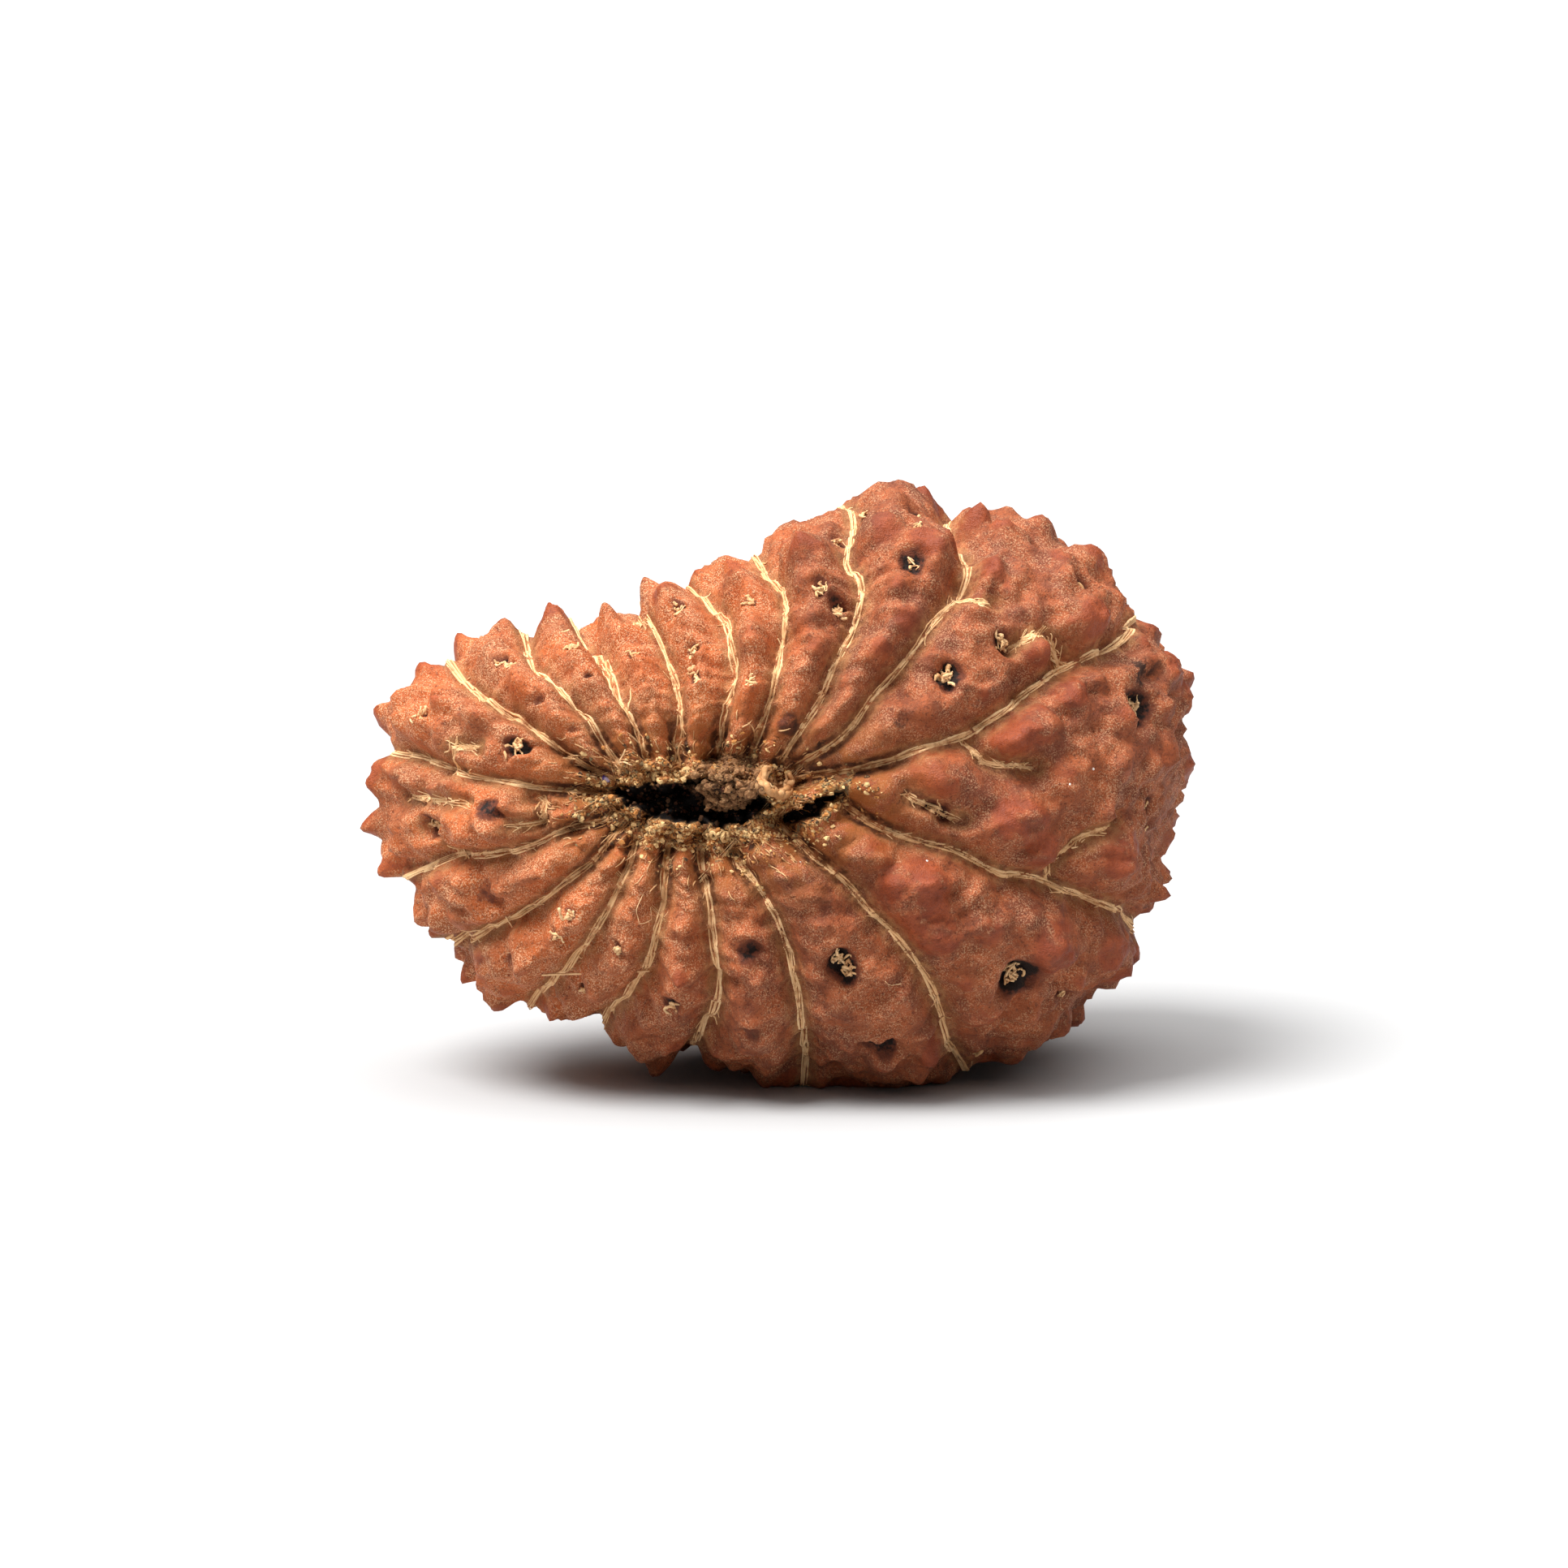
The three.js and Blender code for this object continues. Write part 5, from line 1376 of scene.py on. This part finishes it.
def torn_colour(f, shell):
    """Crusty edge of the slit, pith in it, and painted shade down in the slit, the side hole and the pits.
    """
    # Painted shade in the pits: darker brown on their walls and near black at their middle.
    pit_wall_shade = f.band(f.math("ADD", f.fact("pit"), f.band(f.noise(0.3, 3), 0.3, 0.7, -0.15, 0.15)), 0.3, 0.75)
    shell = f.mix(pit_wall_shade, shell, colour(104, 52, 32))
    pit_core_shade = f.band(f.math("ADD", f.fact("pit"), f.band(f.noise(0.2, 3), 0.3, 0.7, -0.2, 0.2)), 0.7, 1.1)
    shell = f.mix(pit_core_shade, shell, colour(30, 17, 12))
    tan = f.mix(f.band(f.noise(0.18, 3), 0.44, 0.58), colour(212, 164, 104), colour(158, 96, 46))
    crust = f.mix(f.band(f.noise(0.5, 2), 0.55, 0.64), tan, colour(124, 110, 80))
    crust = f.mix(f.band(f.noise(0.13, 3), 0.54, 0.62), crust, colour(48, 28, 16))
    ragged = f.math("ADD", f.fact("slit"), f.band(f.noise(0.6, 4, 0.65), 0.3, 0.7, -0.75, 0.75))
    shell = f.mix(f.band(ragged, 0.85, 0.3), shell, crust)
    pith = f.mix(f.band(f.noise(0.16, 3), 0.4, 0.62), colour(58, 40, 28), colour(124, 92, 66))
    shell = f.mix(f.times(f.fact("plug"), f.band(f.fact("slit"), 0.3, -0.1)), shell, pith)
    # Painted shade, near black, down in the slit and the side hole, by how deep each point lies.
    shell = f.mix(f.band(f.fact("deep"), 0.3, 0.85), shell, colour(16, 9, 7))
    woody = f.mix(f.band(f.noise(0.25, 4, 0.65), 0.4, 0.6), colour(84, 52, 32), colour(156, 112, 72))
    worn = f.math("ADD", f.fact("scar"), f.band(f.noise(0.8, 4, 0.65), 0.3, 0.7, -0.4, 0.4))
    return f.mix(f.band(worn, 0.35, 0.6), shell, woody)


def stone_finish():
    """Dusty shell that is worn smooth and a little glossy on its knobs."""
    f = Finish("seed_stone", 0.62, 0.24)
    worn = f.band(f.noise(1.0, 3), 0.36, 0.56, 0.15, 1)
    knob = f.times(f.band(f.fact("knob"), 0.3, 0.95), worn)
    # Fewer flecks on the knobs, and towards the thick end and the lower half, darkening them partly as
    # painted shade.
    dusty = f.times(f.band(knob, 0.1, 0.8, 1, 0), f.band(f.fact("thick_end_and_low_shade"), 0.1, 0.9, 1, 0.6))
    grain = f.noise(0.055, 2, 0.6)
    specks = f.times(f.band(f.cells(0.12), 0.3, 0.2), f.band(f.noise(0.4, 3), 0.42, 0.6))
    pale = f.math("MAXIMUM", f.band(grain, 0.51, 0.59), specks)
    patchy = f.band(f.noise(1.1, 4, 0.6), 0.34, 0.58, 0.3, 1.0)
    fleck = f.times(pale, f.times(patchy, dusty))
    f.drive("Base Color", torn_colour(f, stain_colour(f, shell_colour(f, knob, fleck))))
    f.drive("Roughness", f.band(knob, 0, 1, 0.64, 0.38))
    rough = f.bump(f.noise(0.3, 4, 0.65), 0.08)
    f.drive("Normal", f.bump(grain, 0.045, rough))
    return f.material


def strand_finish():
    """Pale dry fibres, mottled, and stained brown towards the slit."""
    f = Finish("strand_fibre", 0.7, 0.25)
    pale = f.mix(f.fact("tone"), colour(250, 212, 160), colour(230, 182, 128))
    pale = f.mix(f.band(f.noise(0.3, 4, 0.65), 0.48, 0.68, 0, 0.7), pale, colour(182, 116, 74))
    stain = f.times(f.fact("stain"), f.band(f.noise(0.4, 3), 0.3, 0.6, 0.4, 1))
    f.drive("Base Color", f.mix(stain, pale, colour(156, 96, 42)))
    f.drive("Normal", f.bump(f.noise(0.06, 2), 0.025))
    return f.material


def crust_finish():
    """Grains of cream, orange-tan, grey-green and dark brown, with painted shade on those down in the
    slit.
    """
    f = Finish("crust_grain", 0.78, 0.25)
    tone = f.fact("tone")
    grain = f.mix(f.band(tone, 0.38, 0.44), colour(226, 188, 130), colour(190, 124, 62))
    grain = f.mix(f.band(tone, 0.7, 0.76), grain, colour(122, 104, 72))
    grain = f.mix(f.band(tone, 0.84, 0.88), grain, colour(58, 34, 22))
    grain = f.mix(f.band(f.noise(0.07, 2), 0.45, 0.62, 0, 0.4), grain, colour(190, 150, 100))
    # Painted shade on grains that lie down in the slit.
    grain = f.mix(f.band(f.fact("deep"), 0.15, 0.75, 0, 0.9), grain, colour(72, 34, 24))
    f.drive("Base Color", grain)
    f.drive("Normal", f.bump(f.noise(0.06, 2), 0.02))
    return f.material


def pith_finish():
    """Dry grey-brown pith, with painted shade on the crumbs down in the slit."""
    f = Finish("dry_pith", 0.82, 0.2)
    pith = f.mix(f.fact("tone"), colour(98, 64, 40), colour(156, 112, 74))
    pith = f.mix(f.band(f.noise(0.1, 2), 0.5, 0.68, 0, 0.7), pith, colour(176, 138, 96))
    # Painted shade on crumbs down in the slit.
    pith = f.mix(f.band(f.fact("deep"), 0.3, 0.95, 0, 0.92), pith, colour(34, 22, 16))
    f.drive("Base Color", pith)
    f.drive("Normal", f.bump(f.noise(0.08, 3), 0.03))
    return f.material


def grain_finish(name, dark, light, roughness):
    """A speck that is paler on one side."""
    f = Finish(name, roughness, 0.5)
    f.drive("Base Color", f.mix(f.band(f.noise(0.25, 1), 0.4, 0.6), dark, light))
    return f.material


def add_seed():
    stone, strand, crust, pith = stone_finish(), strand_finish(), crust_finish(), pith_finish()
    points, quads, facts = seed_grid(SKIN_CELLS, FRONT_FINER, True)
    skin = add_mesh("seed_skin", (set_down(points), quads.tolist(), facts), stone)
    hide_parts("seed")
    add_mesh("vein_strands", vein_strands(), strand)
    add_mesh("pit_fibres", pit_fibres(), strand)
    add_mesh("crust_fibres", crust_fibres(), strand)
    add_mesh("stray_hairs", stray_hairs(), strand)
    add_mesh("curled_lip", curled_lip(), strand)
    add_mesh("slit_crust", crust_crumbs(), crust, smooth=False)
    add_mesh("slit_pith", pith_crumbs(), pith, smooth=False)
    pale = grain_finish("pale_speck", colour(214, 196, 178), colour(246, 238, 228), 0.5)
    violet = grain_finish("violet_grain", colour(92, 70, 140), colour(196, 178, 206), 0.25)
    add_mesh("pale_specks", specks(PALE_SPECKS, SEED + 16), pale, smooth=False)
    add_mesh("violet_grain", specks([VIOLET_GRAIN], SEED + 17), violet, smooth=False)


def add_floor():
    bpy.ops.mesh.primitive_plane_add(size=FLOOR_SIZE)
    floor = bpy.context.object
    floor.name = "floor"
    finish = Finish("pale_floor", 0.9, 0.0)
    finish.shader.inputs["Base Color"].default_value = FLOOR_GREY
    floor.data.materials.append(finish.material)


def add_light():
    """An even pale surround, brighter above, and one large soft lamp above the front left."""
    world = bpy.data.worlds.new("studio")
    bpy.context.scene.world = world
    world.use_nodes = True
    tree = world.node_tree
    height = tree.nodes.new("ShaderNodeSeparateXYZ")
    ramp = tree.nodes.new("ShaderNodeMapRange")
    ramp.inputs["From Min"].default_value = 0.5
    ramp.inputs["To Min"].default_value = SKY_LOW
    ramp.inputs["To Max"].default_value = SKY_HIGH
    place = tree.nodes.new("ShaderNodeTexCoord")
    tree.links.new(place.outputs["Generated"], height.inputs[0])
    tree.links.new(height.outputs["Z"], ramp.inputs["Value"])
    tree.links.new(ramp.outputs["Result"], tree.nodes["Background"].inputs["Strength"])
    tree.nodes["Background"].inputs["Color"].default_value = (1, 1, 1, 1)
    lamp = bpy.data.lights.new("softbox", "SUN")
    lamp.energy = LAMP_STRENGTH
    lamp.angle = math.radians(LAMP_SPREAD_DEG)
    lamp_object = bpy.data.objects.new("softbox", lamp)
    bpy.context.collection.objects.link(lamp_object)
    lamp_object.rotation_mode = "QUATERNION"
    lamp_object.rotation_quaternion = Vector(LAMP_FROM).to_track_quat("Z", "Y")
    bpy.context.scene.view_settings.view_transform = "Standard"


def add_camera():
    """A long lens square to the slit's end, framed as the photograph is."""
    half = PHOTO_SIZE_PX / 2
    middle = np.array([(half - SLIT_PX[0]) / PX_PER_MM, 0, (SLIT_PX[1] - half) / PX_PER_MM])
    lean = math.radians(LEAN_DEG)
    back = Vector((0, -math.cos(lean), math.sin(lean)))
    distance = PHOTO_SIZE_PX / PX_PER_MM * LENS_MM / SENSOR_MM
    lens = bpy.data.cameras.new("camera")
    lens.lens = LENS_MM
    lens.sensor_width = SENSOR_MM
    lens.clip_start = 0.01
    camera = bpy.data.objects.new("camera", lens)
    bpy.context.collection.objects.link(camera)
    camera.location = (Vector(stand(middle) + SHIFT) + back * distance) * MM
    camera.rotation_mode = "QUATERNION"
    camera.rotation_quaternion = (-back).to_track_quat("-Z", "Y")
    bpy.context.scene.camera = camera


add_seed()
add_floor()
add_light()
add_camera()
